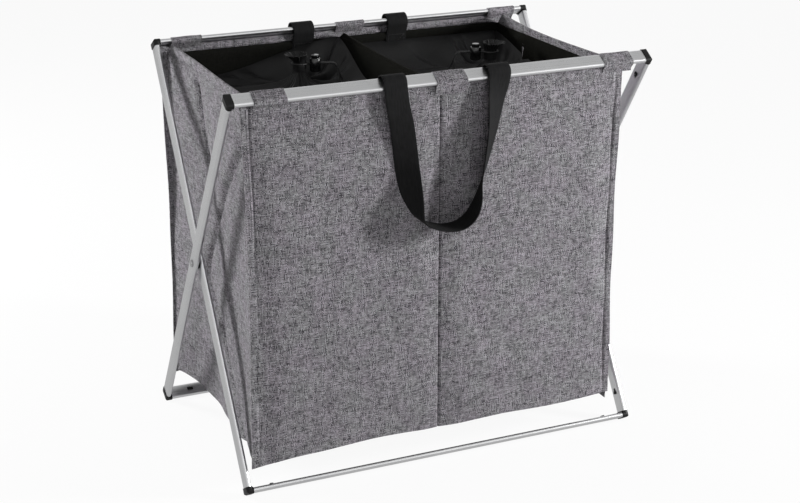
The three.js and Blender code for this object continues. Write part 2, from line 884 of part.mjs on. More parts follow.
const skirtSkin = (side, neck) => {
  const rim = rimRing(side);
  const ruffleSpread = skirt.ruffleRadius - skirt.neckRadius;
  // The ruffle leans away from the lock, which stands close to the neck.
  const circle = (spread, height) =>
    rim.map((p) => {
      const angle = Math.atan2(p.y - neck.y, p.x - neck.x);
      const lean = (1 - ruffleLeanShare * Math.cos(angle - neck.cordTurn)) / (1 + ruffleLeanShare);
      const radius = skirt.neckRadius + spread * lean * ruffleSpread;
      return new THREE.Vector3(
        neck.x + radius * Math.cos(angle),
        neck.y + radius * Math.sin(angle),
        height,
      );
    });
  const collar = circle(0, rimHeight);
  const rows = fallShares.map(([inward, sag, pleat]) =>
    rim.map((p, k) => {
      const point = p.clone().lerp(collar[k], inward);
      point.z = rimHeight + sag * skirt.sag + (k % 2 ? 1 : -1) * (pleat * skirt.pleat) / 2;
      return point;
    }),
  );
  neckShares.forEach(([rise, spread]) =>
    rows.push(circle(spread, neck.height + rise * skirt.neckRise)),
  );
  ruffleShares.forEach(([rise, spread]) => {
    const ring = circle(spread, neck.height + rise * skirt.ruffleRise);
    ring.forEach((p, k) => {
      p.z += ((k % 2 ? 1 : -1) * spread * skirt.pleat) / 2;
    });
    rows.push(ring);
  });
  const last = rows.length - 1;
  const lower = rows.map((row, r) =>
    row.map((p, k) => {
      const along = rows[Math.min(r + 1, last)][k].clone().sub(rows[Math.max(r - 1, 0)][k]);
      const round = row[(k + 1) % skirtPoints].clone().sub(row[(k + skirtPoints - 1) % skirtPoints]);
      const normal = round.cross(along).normalize();
      return p.clone().addScaledVector(normal, -side * cloth.skirt);
    }),
  );
  return { upper: rows, lower };
};

const buildSkirt = (word, side) => {
  const { upper, lower } = skirtSkin(side, necks[word]);
  const geometry = skin(upper, lower, { wrap: true });
  piece(sack, `${word}_drawstring_skirt`, geometry, 'skirt');
};

buildSkirt('left', -1);
buildSkirt('right', 1);

// ---- Drawcords and their locks ------------------------------------------------------------------

const ringSteps = 22;
const lockFar = lock.place + lock.radius + fitGap;
const lockNear = lock.place - lock.radius - fitGap;

// The held cord: out of the lock, round the neck and back through the lock.
const heldPath = () => {
  const circle = skirt.neckRadius + fitGap + cord.radius;
  const strand = cord.strandPitch / 2;
  const open = Math.asin((2 * strand) / circle);
  const run = [
    [lockFar, -strand],
    [lockNear, -strand],
  ];
  for (let i = 0; i <= ringSteps; i += 1) {
    const angle = THREE.MathUtils.lerp(-open, open - 2 * Math.PI, i / ringSteps);
    run.push([circle * Math.cos(angle), circle * Math.sin(angle)]);
  }
  run.push([lockNear, strand]);
  run.push([lockFar, strand]);
  return run.map(([x, y]) => new THREE.Vector3(x, y, 0));
};

// The free loop: straight where the lock slides, then opening and turning aside as it drops
// to lie on the cloth.
const freeSteps = 18;
const deepestSagShare = Math.max(...fallShares.map(([, sag]) => -sag));
const landingShare = 0.75;
const restHeight = rimHeight - deepestSagShare * skirt.sag + skirt.pleat / 2 + cloth.skirt + cord.radius + fitGap;
const freePath = (turn, drop) => {
  const start = lockFar + fitGap;
  const strand = cord.strandPitch / 2;
  const straight = lock.slide / cord.reach;
  const half = [];
  for (let i = 0; i <= freeSteps; i += 1) {
    const share = Math.sin(((i / freeSteps) * Math.PI) / 2);
    const bend = Math.max(share - straight, 0) / (1 - straight);
    const heading = turn * bend * bend;
    const opening = THREE.MathUtils.smoothstep(bend, 0, 1 / 2);
    const width = THREE.MathUtils.lerp(strand, cord.loopWidth / 2, opening);
    const spread = width * Math.sqrt(Math.max(1 - share ** 6, 0));
    const reach = share * cord.reach;
    const middle = new THREE.Vector3(
      start + reach * Math.cos(heading),
      reach * Math.sin(heading),
      -drop * THREE.MathUtils.smoothstep(bend, 0, landingShare),
    );
    const across = new THREE.Vector3(-Math.sin(2 * heading), Math.cos(2 * heading), 0);
    half.push({ middle, across, spread });
  }
  const out = half.map(({ middle, across, spread }) => middle.clone().addScaledVector(across, -spread));
  const back = half
    .slice(0, -1)
    .reverse()
    .map(({ middle, across, spread }) => middle.clone().addScaledVector(across, spread));
  return [...out, ...back];
};

const slotWidth = cord.strandPitch + 2 * (cord.radius + fitGap);
const slotHalf = cord.radius + fitGap;

const lockBody = () => {
  const r = lock.radius;
  const edge = lock.rounding;
  const cup = turned(
    [
      [0, -lock.depth],
      [r - edge, -lock.depth],
      [r, edge - lock.depth],
      [r, lock.rise - edge],
      [r - edge / 2, lock.rise],
      [lock.boreRadius, lock.rise],
      [lock.boreRadius, lock.floor - lock.depth],
      [0, lock.floor - lock.depth],
    ],
    roundSteps,
  ).rotateX(Math.PI / 2);
  return cut(cup, new THREE.BoxGeometry(2 * (r + cutOverrun), slotWidth, 2 * slotHalf));
};

const lockButton = () => {
  const r = lock.boreRadius - fitGap;
  const edge = lock.rounding / 2;
  const plunger = turned(
    [
      [0, -lock.buttonDepth],
      [r, -lock.buttonDepth],
      [r, lock.buttonRise - edge],
      [r - edge, lock.buttonRise],
      [0, lock.buttonRise],
    ],
    roundSteps,
  ).rotateX(Math.PI / 2);
  const tall = 2 * slotHalf + lock.press;
  const window = new THREE.BoxGeometry(2 * (r + cutOverrun), slotWidth, tall);
  return cut(plunger, window.translate(0, 0, tall / 2 - slotHalf));
};

const springSteps = 8;
const lockSpring = () => {
  const low = lock.floor - lock.depth + fitGap + spring.wireRadius;
  const high = -lock.buttonDepth - fitGap - spring.wireRadius;
  const run = [];
  for (let i = 0; i <= spring.turns * springSteps; i += 1) {
    const angle = (2 * Math.PI * i) / springSteps;
    run.push(
      new THREE.Vector3(
        spring.radius * Math.cos(angle),
        spring.radius * Math.sin(angle),
        THREE.MathUtils.lerp(low, high, i / (spring.turns * springSteps)),
      ),
    );
  }
  return wire(run, spring.wireRadius, 5);
};

['left', 'right'].forEach((word) => {
  const neck = necks[word];
  const run = new THREE.Group();
  run.position.set(neck.x, neck.y, neck.height);
  run.rotation.z = neck.cordTurn;
  const turn = (neck.cordTurn < -1 || neck.cordTurn > 1 ? -1 : 1) * cord.turn;
  piece(run, `${word}_drawcord`, wire(heldPath(), cord.radius, 8), 'gloss');
  const drop = neck.height - restHeight;
  piece(run, `${word}_cord_loop`, wire(freePath(turn, drop), cord.radius, 8), 'gloss');
  const body = piece(run, `${word}_cord_lock`, lockBody(), 'gloss');
  const button = piece(run, `${word}_lock_button`, lockButton(), 'gloss');
  const coil = piece(run, `${word}_lock_spring`, lockSpring(), 'steel');
  [body, button, coil].forEach((mesh) => {
    mesh.position.x = lock.place;
  });
  sack.add(run);
});

export default group;
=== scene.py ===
"""Looks of a folding laundry hamper: a divided cloth bag on a crossed frame of flat-oval tubes.

Metres. +X runs along the rails, -Y is the front, +Z is up, and the feet stand at Z = 0.
"""
import json
import math

import bpy
import numpy as np
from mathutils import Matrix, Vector


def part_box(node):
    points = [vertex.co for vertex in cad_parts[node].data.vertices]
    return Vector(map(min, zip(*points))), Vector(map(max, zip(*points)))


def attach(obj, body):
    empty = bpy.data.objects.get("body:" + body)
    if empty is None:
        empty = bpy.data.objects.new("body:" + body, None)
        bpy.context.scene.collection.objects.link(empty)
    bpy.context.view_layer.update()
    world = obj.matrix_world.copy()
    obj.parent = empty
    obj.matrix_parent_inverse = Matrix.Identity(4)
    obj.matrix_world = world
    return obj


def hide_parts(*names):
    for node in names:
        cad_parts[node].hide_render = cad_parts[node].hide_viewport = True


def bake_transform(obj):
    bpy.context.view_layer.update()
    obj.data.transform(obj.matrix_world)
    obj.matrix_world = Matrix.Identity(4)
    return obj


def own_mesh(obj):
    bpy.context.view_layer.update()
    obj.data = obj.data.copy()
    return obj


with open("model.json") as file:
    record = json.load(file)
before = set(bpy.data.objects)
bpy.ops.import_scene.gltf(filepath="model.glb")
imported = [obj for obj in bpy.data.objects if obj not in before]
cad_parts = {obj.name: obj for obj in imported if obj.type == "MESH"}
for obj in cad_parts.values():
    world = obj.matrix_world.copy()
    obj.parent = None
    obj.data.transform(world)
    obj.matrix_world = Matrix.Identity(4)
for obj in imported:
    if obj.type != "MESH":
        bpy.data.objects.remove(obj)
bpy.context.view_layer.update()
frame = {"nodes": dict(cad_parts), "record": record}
nodes = frame["nodes"]
scene = bpy.context.scene
MM = 0.001

# ---- Camera ----

CAMERA_PLACE = (-0.9205, -2.0778, 1.0700)
CAMERA_YAW, CAMERA_PITCH = math.radians(24.10), math.radians(19.86)
CAMERA_LENS = 75.24

camera_data = bpy.data.cameras.new("camera")
camera_data.lens = CAMERA_LENS
camera_data.sensor_width = 36
camera_data.clip_end = 30
camera = bpy.data.objects.new("camera", camera_data)
camera.location = CAMERA_PLACE
camera.rotation_euler = (math.pi / 2 - CAMERA_PITCH, 0, -CAMERA_YAW)
scene.collection.objects.link(camera)
scene.camera = camera

# ---- Places, most of them taken from the frame ----

rail_low, rail_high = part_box("outer_top_rail")
RAIL_Y = -(rail_low.y + rail_high.y) / 2
RAIL_Z = (rail_low.z + rail_high.z) / 2
panel_low, panel_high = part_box("front_panel")
PANEL_LEFT, PANEL_RIGHT = panel_low.x, panel_high.x
BAG_X = (PANEL_LEFT + PANEL_RIGHT) / 2
PANEL_Y = -(panel_low.y + panel_high.y) / 2
PANEL_TOP = panel_high.z
FLOOR_Z = panel_low.z
DIVIDER_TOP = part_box("divider_panel")[1].z
FIN = 10.4 * MM  # seam allowance beside each upright edge
HALF = (PANEL_RIGHT - PANEL_LEFT) / 2 - FIN
LEFT_SEAM, CENTRE_SEAM, RIGHT_SEAM = PANEL_LEFT + FIN, BAG_X, PANEL_RIGHT - FIN
CLOTH_TOP = RAIL_Z - 6.1 * MM
HEM_Z = CLOTH_TOP - 18 * MM  # the hem's stitched line
BAND_LOW, BAND_TOP = RAIL_Z - 13 * MM, RAIL_Z - 4.2 * MM  # the long hem bands inside
LEAN = math.atan2(346, 538)  # of the legs, from their run and rise
TUBE_DEPTH, TUBE_THICK = 21 * MM, 7 * MM
WALL_Y = 174.35 * MM  # where the side cloths end, front and rear
HEM_WALL_Y = RAIL_Y - 3.15 * MM  # the same above the hem's line
NOTCH_Y = RAIL_Y - 19 * MM  # the same beside the rails
CLOTH_T, LINING_T = 1.4 * MM, 0.8 * MM
ON_CLOTH = 0.75 * MM  # from the cloth's middle to the thread on it
SIDES = (("left", -1), ("right", 1))
LONG_SIDES = (("front", -1, "bag"), ("rear", 1, "rear_hem"))


def fold(anchor_y, keep):
    """How cloth is squashed as the frame folds: towards the plane at anchor_y, to a share of its depth."""
    return dict(joint="fold", axis=(0, 1, 0), anchor=(0, anchor_y, 0), keep=keep)


INNER_FOLD = fold(-168.65 * MM, 0.1106)
SIDE_FOLD = fold(-WALL_Y, 0.1325)
EAR_FOLD = fold(-161 * MM, 0.0665)


# ---- Small helpers ----

def dress(piece, body, slot, *replaced, squash=None):
    """Puts a piece on its body and hides the nodes it replaces; a squash only gives it a mesh of its own,
    and slot is not used.
    """
    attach(piece, body)
    if squash:
        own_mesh(piece)
    if replaced:
        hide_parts(*replaced)


def smooth(low, high, x):
    t = np.clip((np.asarray(x, float) - low) / (high - low), 0, 1)
    return t * t * (3 - 2 * t)


def bump(x, centre, width):
    return np.exp(-(((np.asarray(x, float) - centre) / width) ** 2))


def unit(vectors):
    return vectors / np.linalg.norm(vectors, axis=-1, keepdims=True)


class Waves:
    """A smooth random field: a sum of cosines with seeded directions, between about -1 and 1."""

    def __init__(self, seed, wavelength, count=9, stretch=(1, 1)):
        source = np.random.default_rng(seed)
        angle = source.uniform(0, math.pi, count)
        length = wavelength * source.uniform(0.7, 1.6, count)
        self.kx = 2 * math.pi * np.cos(angle) / length / stretch[0]
        self.ky = 2 * math.pi * np.sin(angle) / length / stretch[1]
        self.phase = source.uniform(0, 2 * math.pi, count)

    def __call__(self, u, v):
        u, v = np.broadcast_arrays(np.asarray(u, float), np.asarray(v, float))
        total = sum(np.cos(kx * u + ky * v + ph) for kx, ky, ph in zip(self.kx, self.ky, self.phase))
        return total / math.sqrt(len(self.kx)) / 1.4


def stops(low, high, step, fine=(), fine_step=1 * MM, fine_width=4 * MM):
    """Places from low to high, a step apart, and closer together near the fine places."""
    places = list(np.linspace(low, high, max(2, round((high - low) / step) + 1)))
    for centre in fine:
        extra = np.arange(centre - fine_width, centre + fine_width + 1e-9, fine_step)
        places = [p for p in places if abs(p - centre) > fine_width + fine_step / 2]
        places += [p for p in extra if low - 1e-9 <= p <= high + 1e-9]
    return np.unique(np.round(places + [low, high], 6))


def nearest(values, wanted):
    return int(np.argmin(np.abs(np.asarray(values) - wanted)))


def path_lengths(path):
    """The length from the start of a path to each of its points."""
    return np.concatenate([[0], np.cumsum(np.linalg.norm(np.diff(path, axis=0), axis=1))])


def arc_lengths(P, axis):
    """The same along each row or column of a grid of points."""
    step = np.linalg.norm(np.diff(P, axis=axis), axis=2)
    zero = np.zeros_like(np.take(step, [0], axis=axis))
    return np.concatenate([zero, np.cumsum(step, axis=axis)], axis=axis)


def resample(run, steps):
    length = path_lengths(run)
    wanted = np.linspace(0, length[-1], steps)
    return np.stack([np.interp(wanted, length, run[:, k]) for k in range(run.shape[1])], 1)


def catmull(points, steps):
    """A smooth run through the points, evenly spaced."""
    points = np.asarray(points, float)
    padded = np.vstack([2 * points[0] - points[1], points, 2 * points[-1] - points[-2]])
    run = []
    for i in range(1, len(padded) - 2):
        p0, p1, p2, p3 = padded[i - 1 : i + 3]
        square, cube = 2 * p0 - 5 * p1 + 4 * p2 - p3, 3 * p1 - p0 - 3 * p2 + p3
        for t in np.linspace(0, 1, 24, endpoint=False):
            run.append(0.5 * (2 * p1 + (p2 - p0) * t + square * t**2 + cube * t**3))
    run.append(points[-1])
    return resample(np.array(run), steps)


def mesh_object(name, points, faces, uvs, material, smooth_faces=True):
    mesh = bpy.data.meshes.new(name)
    mesh.from_pydata([tuple(p) for p in points], [], faces)
    if uvs is not None:
        layer = mesh.uv_layers.new(name="cloth")
        index = np.zeros(len(mesh.loops), np.int32)
        mesh.loops.foreach_get("vertex_index", index)
        layer.data.foreach_set("uv", np.asarray(uvs, np.float32)[index].ravel())
    if smooth_faces:
        mesh.polygons.foreach_set("use_smooth", [True] * len(mesh.polygons))
    mesh.update()
    made = bpy.data.objects.new(name, mesh)
    scene.collection.objects.link(made)
    made.data.materials.append(material)
    return made


def grid_normals(P, wrap=False):
    rows = np.gradient(P, axis=0)
    around = np.roll(P, -1, axis=1) - np.roll(P, 1, axis=1) if wrap else np.gradient(P, axis=1)
    normal = np.cross(around, rows)
    return normal / np.maximum(np.linalg.norm(normal, axis=2, keepdims=True), 1e-12)


def mirrored(when, *grids):
    """The grids with their columns reversed when asked, so that their faces look outward."""
    return [grid[:, ::-1] if when else grid for grid in grids]


def sheet(name, P, UV, thick, material, wrap=False, offset=0.0):
    """Cloth through a grid of points: its two faces lie on either side of the grid, moved by offset."""
    P = np.asarray(P, float)
    normal = grid_normals(P, wrap)
    front = P + normal * (offset + thick / 2)
    back = P + normal * (offset - thick / 2)
    rows, columns = P.shape[:2]
    points = np.concatenate([front.reshape(-1, 3), back.reshape(-1, 3)])
    uvs = np.concatenate([UV.reshape(-1, 2)] * 2)
    total = rows * columns
    last = columns if wrap else columns - 1
    faces = []
    for r in range(rows - 1):
        for c in range(last):
            a, b = r * columns + c, r * columns + (c + 1) % columns
            f, e = a + columns, b + columns
            faces.append((a, b, e, f))
            faces.append((a + total, f + total, e + total, b + total))

    def edge(a, b, flip):
        faces.append((b, a, a + total, b + total) if flip else (a, b, b + total, a + total))

    for r in (0, rows - 1):
        for c in range(last):
            edge(r * columns + c, r * columns + (c + 1) % columns, r == 0)
    if not wrap:
        for c in (0, columns - 1):
            for r in range(rows - 1):
                edge(r * columns + c, (r + 1) * columns + c, c > 0)
    made = mesh_object(name, points, faces, uvs, material)
    made.data.set_sharp_from_angle(angle=math.radians(50))
    return made


def sweep(name, path, section, ups, material):
    """A solid along a path. section is points (across, out), and ups the outward way, one or each step's."""
    path = np.asarray(path, float)
    along = unit(np.gradient(path, axis=0))
    ups = np.broadcast_to(np.asarray(ups, float), path.shape)
    ups = unit(ups - along * (ups * along).sum(1, keepdims=True))
    side = np.cross(along, ups)
    section = np.asarray(section, float)
    rings = path[:, None] + side[:, None] * section[None, :, :1] + ups[:, None] * section[None, :, 1:]
    count, sides = rings.shape[:2]
    uv = np.zeros((count, sides, 2))
    uv[..., 0] = section[None, :, 0]
    uv[..., 1] = path_lengths(path)[:, None]
    faces = []
    for r in range(count - 1):
        for c in range(sides):
            d = (c + 1) % sides
            faces.append((r * sides + c, (r + 1) * sides + c, (r + 1) * sides + d, r * sides + d))
    faces.append(tuple(range(sides)))
    faces.append(tuple((count - 1) * sides + c for c in reversed(range(sides))))
    made = mesh_object(name, rings.reshape(-1, 3), faces, uv.reshape(-1, 2), material)
    made.data.set_sharp_from_angle(angle=math.radians(50))
    return made


def strap_section(width, thick):
    """A webbing's section: flat, with rounded edges."""
    w, t = width / 2, thick / 2
    e = min(t, w) * 0.9
    low = [(-w, -t + e), (-w + e / 4, -t + e / 4), (-w + e, -t)]
    low += [(x, -t) for x in np.linspace(-w + e, w - e, 9)[1:-1]]
    low += [(w - e, -t), (w - e / 4, -t + e / 4), (w, -t + e)]
    return low + [(x, -y) for x, y in reversed(low)]


def round_section(radius, sides):
    angles = [2 * math.pi * i / sides for i in range(sides)]
    return [(radius * math.cos(a), radius * math.sin(a)) for a in angles]


STITCH_PITCH, STITCH_LENGTH, STITCH_R = 4.2 * MM, 2.9 * MM, 0.32 * MM
STITCH_RINGS = ((-0.5, -0.5, 0.35), (-0.3, 0.45, 1), (0, 0.8, 1), (0.3, 0.45, 1), (0.5, -0.5, 0.35))
STITCH_SIDES = 5


def stitches(name, path, out, material):
    """A row of thread stitches along a path on a surface that faces out, one way or each step's."""
    path = np.asarray(path, float)
    out = np.broadcast_to(np.asarray(out, float), path.shape)
    lengths = path_lengths(path)

    def at(where, values):
        return np.array([np.interp(where, lengths, values[:, k]) for k in range(3)])

    points, faces = [], []
    for s in np.arange(STITCH_PITCH / 2, lengths[-1] - STITCH_PITCH / 2, STITCH_PITCH):
        middle = at(s, path)
        ahead = at(min(s + STITCH_LENGTH, lengths[-1]), path) - middle
        if np.linalg.norm(ahead) < 1e-9:
            continue
        along = unit(ahead)
        normal = at(s, out)
        normal = unit(normal - along * (normal @ along))
        side = np.cross(along, normal)
        base = len(points)
        for share, lift, size in STITCH_RINGS:
            centre = middle + along * share * STITCH_LENGTH + normal * lift * STITCH_R
            for across, up in round_section(STITCH_R * size, STITCH_SIDES):
                points.append(centre + side * across + normal * up)
        for r in range(len(STITCH_RINGS) - 1):
            low, high = base + r * STITCH_SIDES, base + (r + 1) * STITCH_SIDES
            for k in range(STITCH_SIDES):
                j = (k + 1) % STITCH_SIDES
                faces.append((low + k, low + j, high + j, high + k))
        faces.append(tuple(base + k for k in reversed(range(STITCH_SIDES))))
        faces.append(tuple(high + k for k in range(STITCH_SIDES)))
    return mesh_object(name, points, faces, None, material)


# ---- Materials ----

class Nodes:
    """Short calls that build the node tree of a material or of the world."""

    def __init__(self, owner, output):
        owner.use_nodes = True
        self.owner, self.tree = owner, owner.node_tree
        self.tree.nodes.clear()
        self.output = self.tree.nodes.new("ShaderNodeOutput" + output)

    def put(self, socket, value):
        """Link a socket to a node's output, or set a number or colour on the socket itself."""
        if hasattr(value, "is_output"):
            self.tree.links.new(value, socket)
        else:
            socket.default_value = (*value, 1) if isinstance(value, tuple) else value

    def make(self, kind, inputs=(), out=0, **settings):
        """A new node with its settings, and its inputs by place or by name. Gives the output asked for."""
        node = self.tree.nodes.new("ShaderNode" + kind)
        for name, setting in settings.items():
            setattr(node, name, setting)
        for key, value in inputs.items() if isinstance(inputs, dict) else enumerate(inputs):
            self.put(node.inputs[key], value)
        return node.outputs[out]

    def finish(self, shader):
        self.put(self.output.inputs[0], shader)
        return self.owner

    def math(self, kind, *values):
        return self.make("Math", values, operation=kind)

    def add(self, a, b):
        return self.math("ADD", a, b)

    def less(self, a, b):
        return self.math("SUBTRACT", a, b)

    def times(self, a, b):
        return self.math("MULTIPLY", a, b)

    def over(self, a, b):
        return self.math("DIVIDE", a, b)

    def most(self, a, b):
        return self.math("MAXIMUM", a, b)

    def vector(self, x, y, z):
        return self.make("CombineXYZ", (x, y, z))

    def parts(self, vector):
        return self.make("SeparateXYZ", [vector], slice(3))

    def uv(self):
        return self.make("UVMap", uv_map="cloth")

    def place(self):
        return self.make("TexCoord", out="Object")

    def ray(self, kind):
        return self.make("LightPath", out=f"Is {kind} Ray")

    def noise(self, vector, scale, detail):
        return self.make("TexNoise", {"Vector": vector, "Scale": scale, "Detail": detail})

    def ramp(self, value, low, high, to_low=0.0, to_high=1.0):
        return self.make("MapRange", (value, low, high, to_low, to_high))

    def mix(self, share, a, b):
        return self.make("Mix", {0: share, 6: a, 7: b}, 2, data_type="RGBA")

    def bump(self, height, strength, distance):
        return self.make("Bump", {"Height": height, "Strength": strength, "Distance": distance})


SHADER_SOCKETS = dict(
    color="Base Color", rough="Roughness", metal="Metallic", normal="Normal", specular="Specular IOR Level",
    sheen="Sheen Weight", sheen_rough="Sheen Roughness", coat="Coat Weight", coat_rough="Coat Roughness",
)


class Surface(Nodes):
    """A material of one Principled shader."""

    def __init__(self, name):
        super().__init__(bpy.data.materials.new(name), "Material")

    def set(self, **values):
        inputs = {SHADER_SOCKETS[key]: value for key, value in values.items()}
        return self.finish(self.make("BsdfPrincipled", inputs))


def weave(n, pitch, streak, wander):
    """Warp and weft threads on the cloth's own metres: the tone of the thread on top, and its height."""
    u, v, _ = n.parts(n.uv())
    drift = n.times(n.less(n.noise(n.uv(), 90, 1.0), 0.5), pitch * wander * 4)
    across, up = n.over(n.add(u, drift), pitch), n.over(n.add(v, drift), pitch)
    warp, weft = n.math("FLOOR", across), n.math("FLOOR", up)
    warp_tone = n.noise(n.vector(n.times(warp, 7.13), n.over(v, streak), 0.5), 1, 1.0)
    weft_tone = n.noise(n.vector(n.over(u, streak), n.times(weft, 5.71), 9.5), 1, 1.0)
    weft_on_top = n.math("MODULO", n.math("ABSOLUTE", n.add(warp, weft)), 2.0)

    def rounded(thread):
        off = n.less(n.math("FRACT", thread), 0.5)
        return n.less(1.0, n.times(n.times(off, off), 4.0))

    def on_top(of_warp, of_weft):
        return n.add(of_warp, n.times(weft_on_top, n.less(of_weft, of_warp)))

    return on_top(warp_tone, weft_tone), on_top(rounded(across), rounded(up))


MELANGE_DARK, MELANGE_LIGHT = (0.052, 0.049, 0.056), (0.44, 0.425, 0.45)


def melange_material():
    """Yarns spun of dark and light fibre, with a little warm and green in the light ones."""
    n = Surface("melange_grey")
    tone, height = weave(n, 1.6 * MM, 7 * MM, 0.25)
    fleck = n.noise(n.uv(), 900, 1.0)
    tone = n.add(n.times(tone, 0.85), n.times(fleck, 0.15))
    warm = tuple(v * k for v, k in zip(MELANGE_LIGHT, (1.02, 0.985, 1.02)))
    green = tuple(v * k for v, k in zip(MELANGE_LIGHT, (0.985, 1.01, 0.985)))
    light = n.mix(n.ramp(n.noise(n.uv(), 30, 1.0), 0.35, 0.65), warm, green)
    patch = n.ramp(n.noise(n.uv(), 22, 2.0), 0.3, 0.7, 0.94, 1.06)
    # Painted shade: the weave's dips between threads are coloured darker and the thread tops lighter, by
    # their height, times a random tone patch.
    shade = n.times(n.ramp(height, 0.0, 1.0, 0.6, 1.05), patch)
    yarn = n.mix(n.ramp(tone, 0.33, 0.67), MELANGE_DARK, light)
    return n.set(
        color=n.make("VectorMath", {0: yarn, "Scale": shade}, operation="SCALE"),
        rough=n.ramp(fleck, 0.3, 0.7, 0.82, 0.95), sheen=0.06, sheen_rough=0.5, specular=0.12,
        normal=n.bump(n.add(height, n.times(tone, 0.9)), 0.5, 0.0005),
    )


def plain_cloth(name, dark, light, pitch, strength=0.3, rough=(0.75, 0.9), sheen=0.0, specular=0.06):
    """Black cloth of one yarn, a little uneven in tone."""
    n = Surface(name)
    tone, height = weave(n, pitch, 8 * MM, 0.1)
    patch = n.ramp(n.noise(n.uv(), 14, 3.0), 0.3, 0.7, 0.8, 1.2)
    return n.set(
        color=n.mix(n.times(n.ramp(tone, 0.3, 0.7), patch), dark, light),
        rough=n.ramp(tone, 0.3, 0.7, *rough), sheen=sheen, sheen_rough=0.45, specular=specular,
        normal=n.bump(height, strength, 0.00025),
    )


def webbing_material():
    """Tape with ribs across it and a fine herringbone along them."""
    n = Surface("webbing_black")
    u, v, _ = n.parts(n.uv())
    zig = n.math("PINGPONG", n.over(u, 3 * MM), 1.0)
    rib = n.math("SINE", n.times(n.add(n.over(v, 1.15 * MM), zig), 2 * math.pi))
    column = n.math("SINE", n.times(n.over(u, 1.5 * MM), 2 * math.pi))
    tone = n.noise(n.vector(n.over(u, 2 * MM), n.over(v, 12 * MM), 0.0), 1, 3.0)
    return n.set(
        color=n.mix(n.ramp(tone, 0.3, 0.7), (0.0100, 0.0100, 0.0104), (0.0160, 0.0160, 0.0165)),
        rough=n.ramp(rib, -1, 1, 0.62, 0.8), sheen=0.01, sheen_rough=0.4, specular=0.08,
        normal=n.bump(n.add(rib, n.times(column, 0.5)), 0.35, 0.0003),
    )


def cord_material():
    """A braid: two sets of strands that wind round the cord and cross."""
    n = Surface("cord_black")
    u, v, _ = n.parts(n.uv())
    along, round_it = n.over(v, 1.1 * MM), n.over(u, 0.8 * MM)
    braid = n.most(*(
        n.math("SINE", n.times(n.math(way, along, round_it), math.pi)) for way in ("ADD", "SUBTRACT")
    ))
    # Painted shade: the grooves between the braid's strands are coloured darker, and the strands' tops
    # lighter.
    return n.set(
        color=n.mix(n.ramp(braid, -0.2, 1), (0.004, 0.004, 0.004), (0.016, 0.016, 0.017)),
        rough=n.ramp(braid, 0, 1, 0.6, 0.38), specular=0.5, normal=n.bump(braid, 0.6, 0.0003),
    )


def aluminium_material():
    """Satin anodised tube: faint lines drawn along it and small handling marks."""
    n = Surface("aluminium_satin")
    x, y, z = n.parts(n.place())
    drawn = n.noise(n.vector(n.times(x, 3.0), n.times(y, 2600.0), n.times(z, 2600.0)), 1, 2.0)
    mark = n.ramp(n.noise(n.place(), 240, 3.0), 0.62, 0.75)
    cloud = n.ramp(n.noise(n.place(), 18, 2.0), 0.3, 0.7)
    colour = n.mix(cloud, (0.76, 0.765, 0.775), (0.82, 0.825, 0.83))
    return n.set(
        color=n.mix(n.times(mark, 0.25), colour, (0.55, 0.55, 0.56)), metal=1.0,
        rough=n.add(n.ramp(drawn, 0.3, 0.7, 0.26, 0.36), n.times(mark, 0.1)),
        normal=n.bump(drawn, 0.06, 0.0001),
    )


def moulded_material():
    """Matt black moulding with a fine spark-eroded grain and rubbed edges."""
    n = Surface("plastic_black")
    grain = n.noise(n.place(), 2600, 3.0)
    scuff = n.ramp(n.noise(n.place(), 130, 4.0), 0.58, 0.75)
    return n.set(
        color=n.mix(n.times(scuff, 0.4), (0.005, 0.005, 0.0053), (0.014, 0.014, 0.015)),
        rough=n.add(n.ramp(grain, 0.3, 0.7, 0.38, 0.5), n.times(scuff, 0.12)), specular=0.28,
        normal=n.bump(grain, 0.12, 0.0001),
    )


def gloss_material():
    """Polished black moulding of the cord locks."""
    n = Surface("plastic_gloss")
    flow = n.noise(n.place(), 160, 2.0)
    haze = n.ramp(n.noise(n.place(), 900, 3.0), 0.55, 0.8)
    return n.set(
        color=n.mix(flow, (0.0045, 0.0045, 0.005), (0.0075, 0.0075, 0.008)),
        rough=n.add(n.ramp(flow, 0.3, 0.7, 0.1, 0.16), n.times(haze, 0.08)), coat=0.6, coat_rough=0.06,
        normal=n.bump(flow, 0.04, 0.0002),
    )


def steel_material():
    """Plated steel of the rivets, washers and springs."""
    n = Surface("steel_plated")
    grain = n.noise(n.place(), 700, 4.0)
    spot = n.ramp(n.noise(n.place(), 300, 2.0), 0.6, 0.72)
    return n.set(
        color=n.mix(n.times(spot, 0.4), (0.52, 0.52, 0.53), (0.3, 0.3, 0.31)), metal=1.0,
        rough=n.ramp(grain, 0.3, 0.7, 0.22, 0.38), normal=n.bump(grain, 0.08, 0.0001),
    )


def thread_material(name, dark, light):
    n = Surface(name)
    fibre = n.noise(n.place(), 1500, 3.0)
    return n.set(
        color=n.mix(n.ramp(fibre, 0.3, 0.7), dark, light), rough=n.ramp(fibre, 0.3, 0.7, 0.55, 0.75),
        sheen=0.1, normal=n.bump(fibre, 0.3, 0.0001),
    )


MELANGE = melange_material()
LINING = plain_cloth("lining_black", (0.0065, 0.0065, 0.0055), (0.0140, 0.0140, 0.0120), 1.3 * MM)
SKIRT = plain_cloth("top_cloth_black", (0.0060, 0.0060, 0.0063), (0.0120, 0.0120, 0.0124), 0.5 * MM,
                    0.15, (0.40, 0.52), 0.05, 0.30)
WEBBING = webbing_material()
CORD = cord_material()
ALUMINIUM = aluminium_material()
MOULDED = moulded_material()
GLOSS = gloss_material()
STEEL = steel_material()
GREY_THREAD = thread_material("thread_grey", (0.07, 0.068, 0.074), (0.14, 0.136, 0.144))
BLACK_THREAD = thread_material("thread_black", (0.008, 0.008, 0.008), (0.016, 0.016, 0.016))

# ---- Tubes, mouldings and locks: the frame's own solids ----

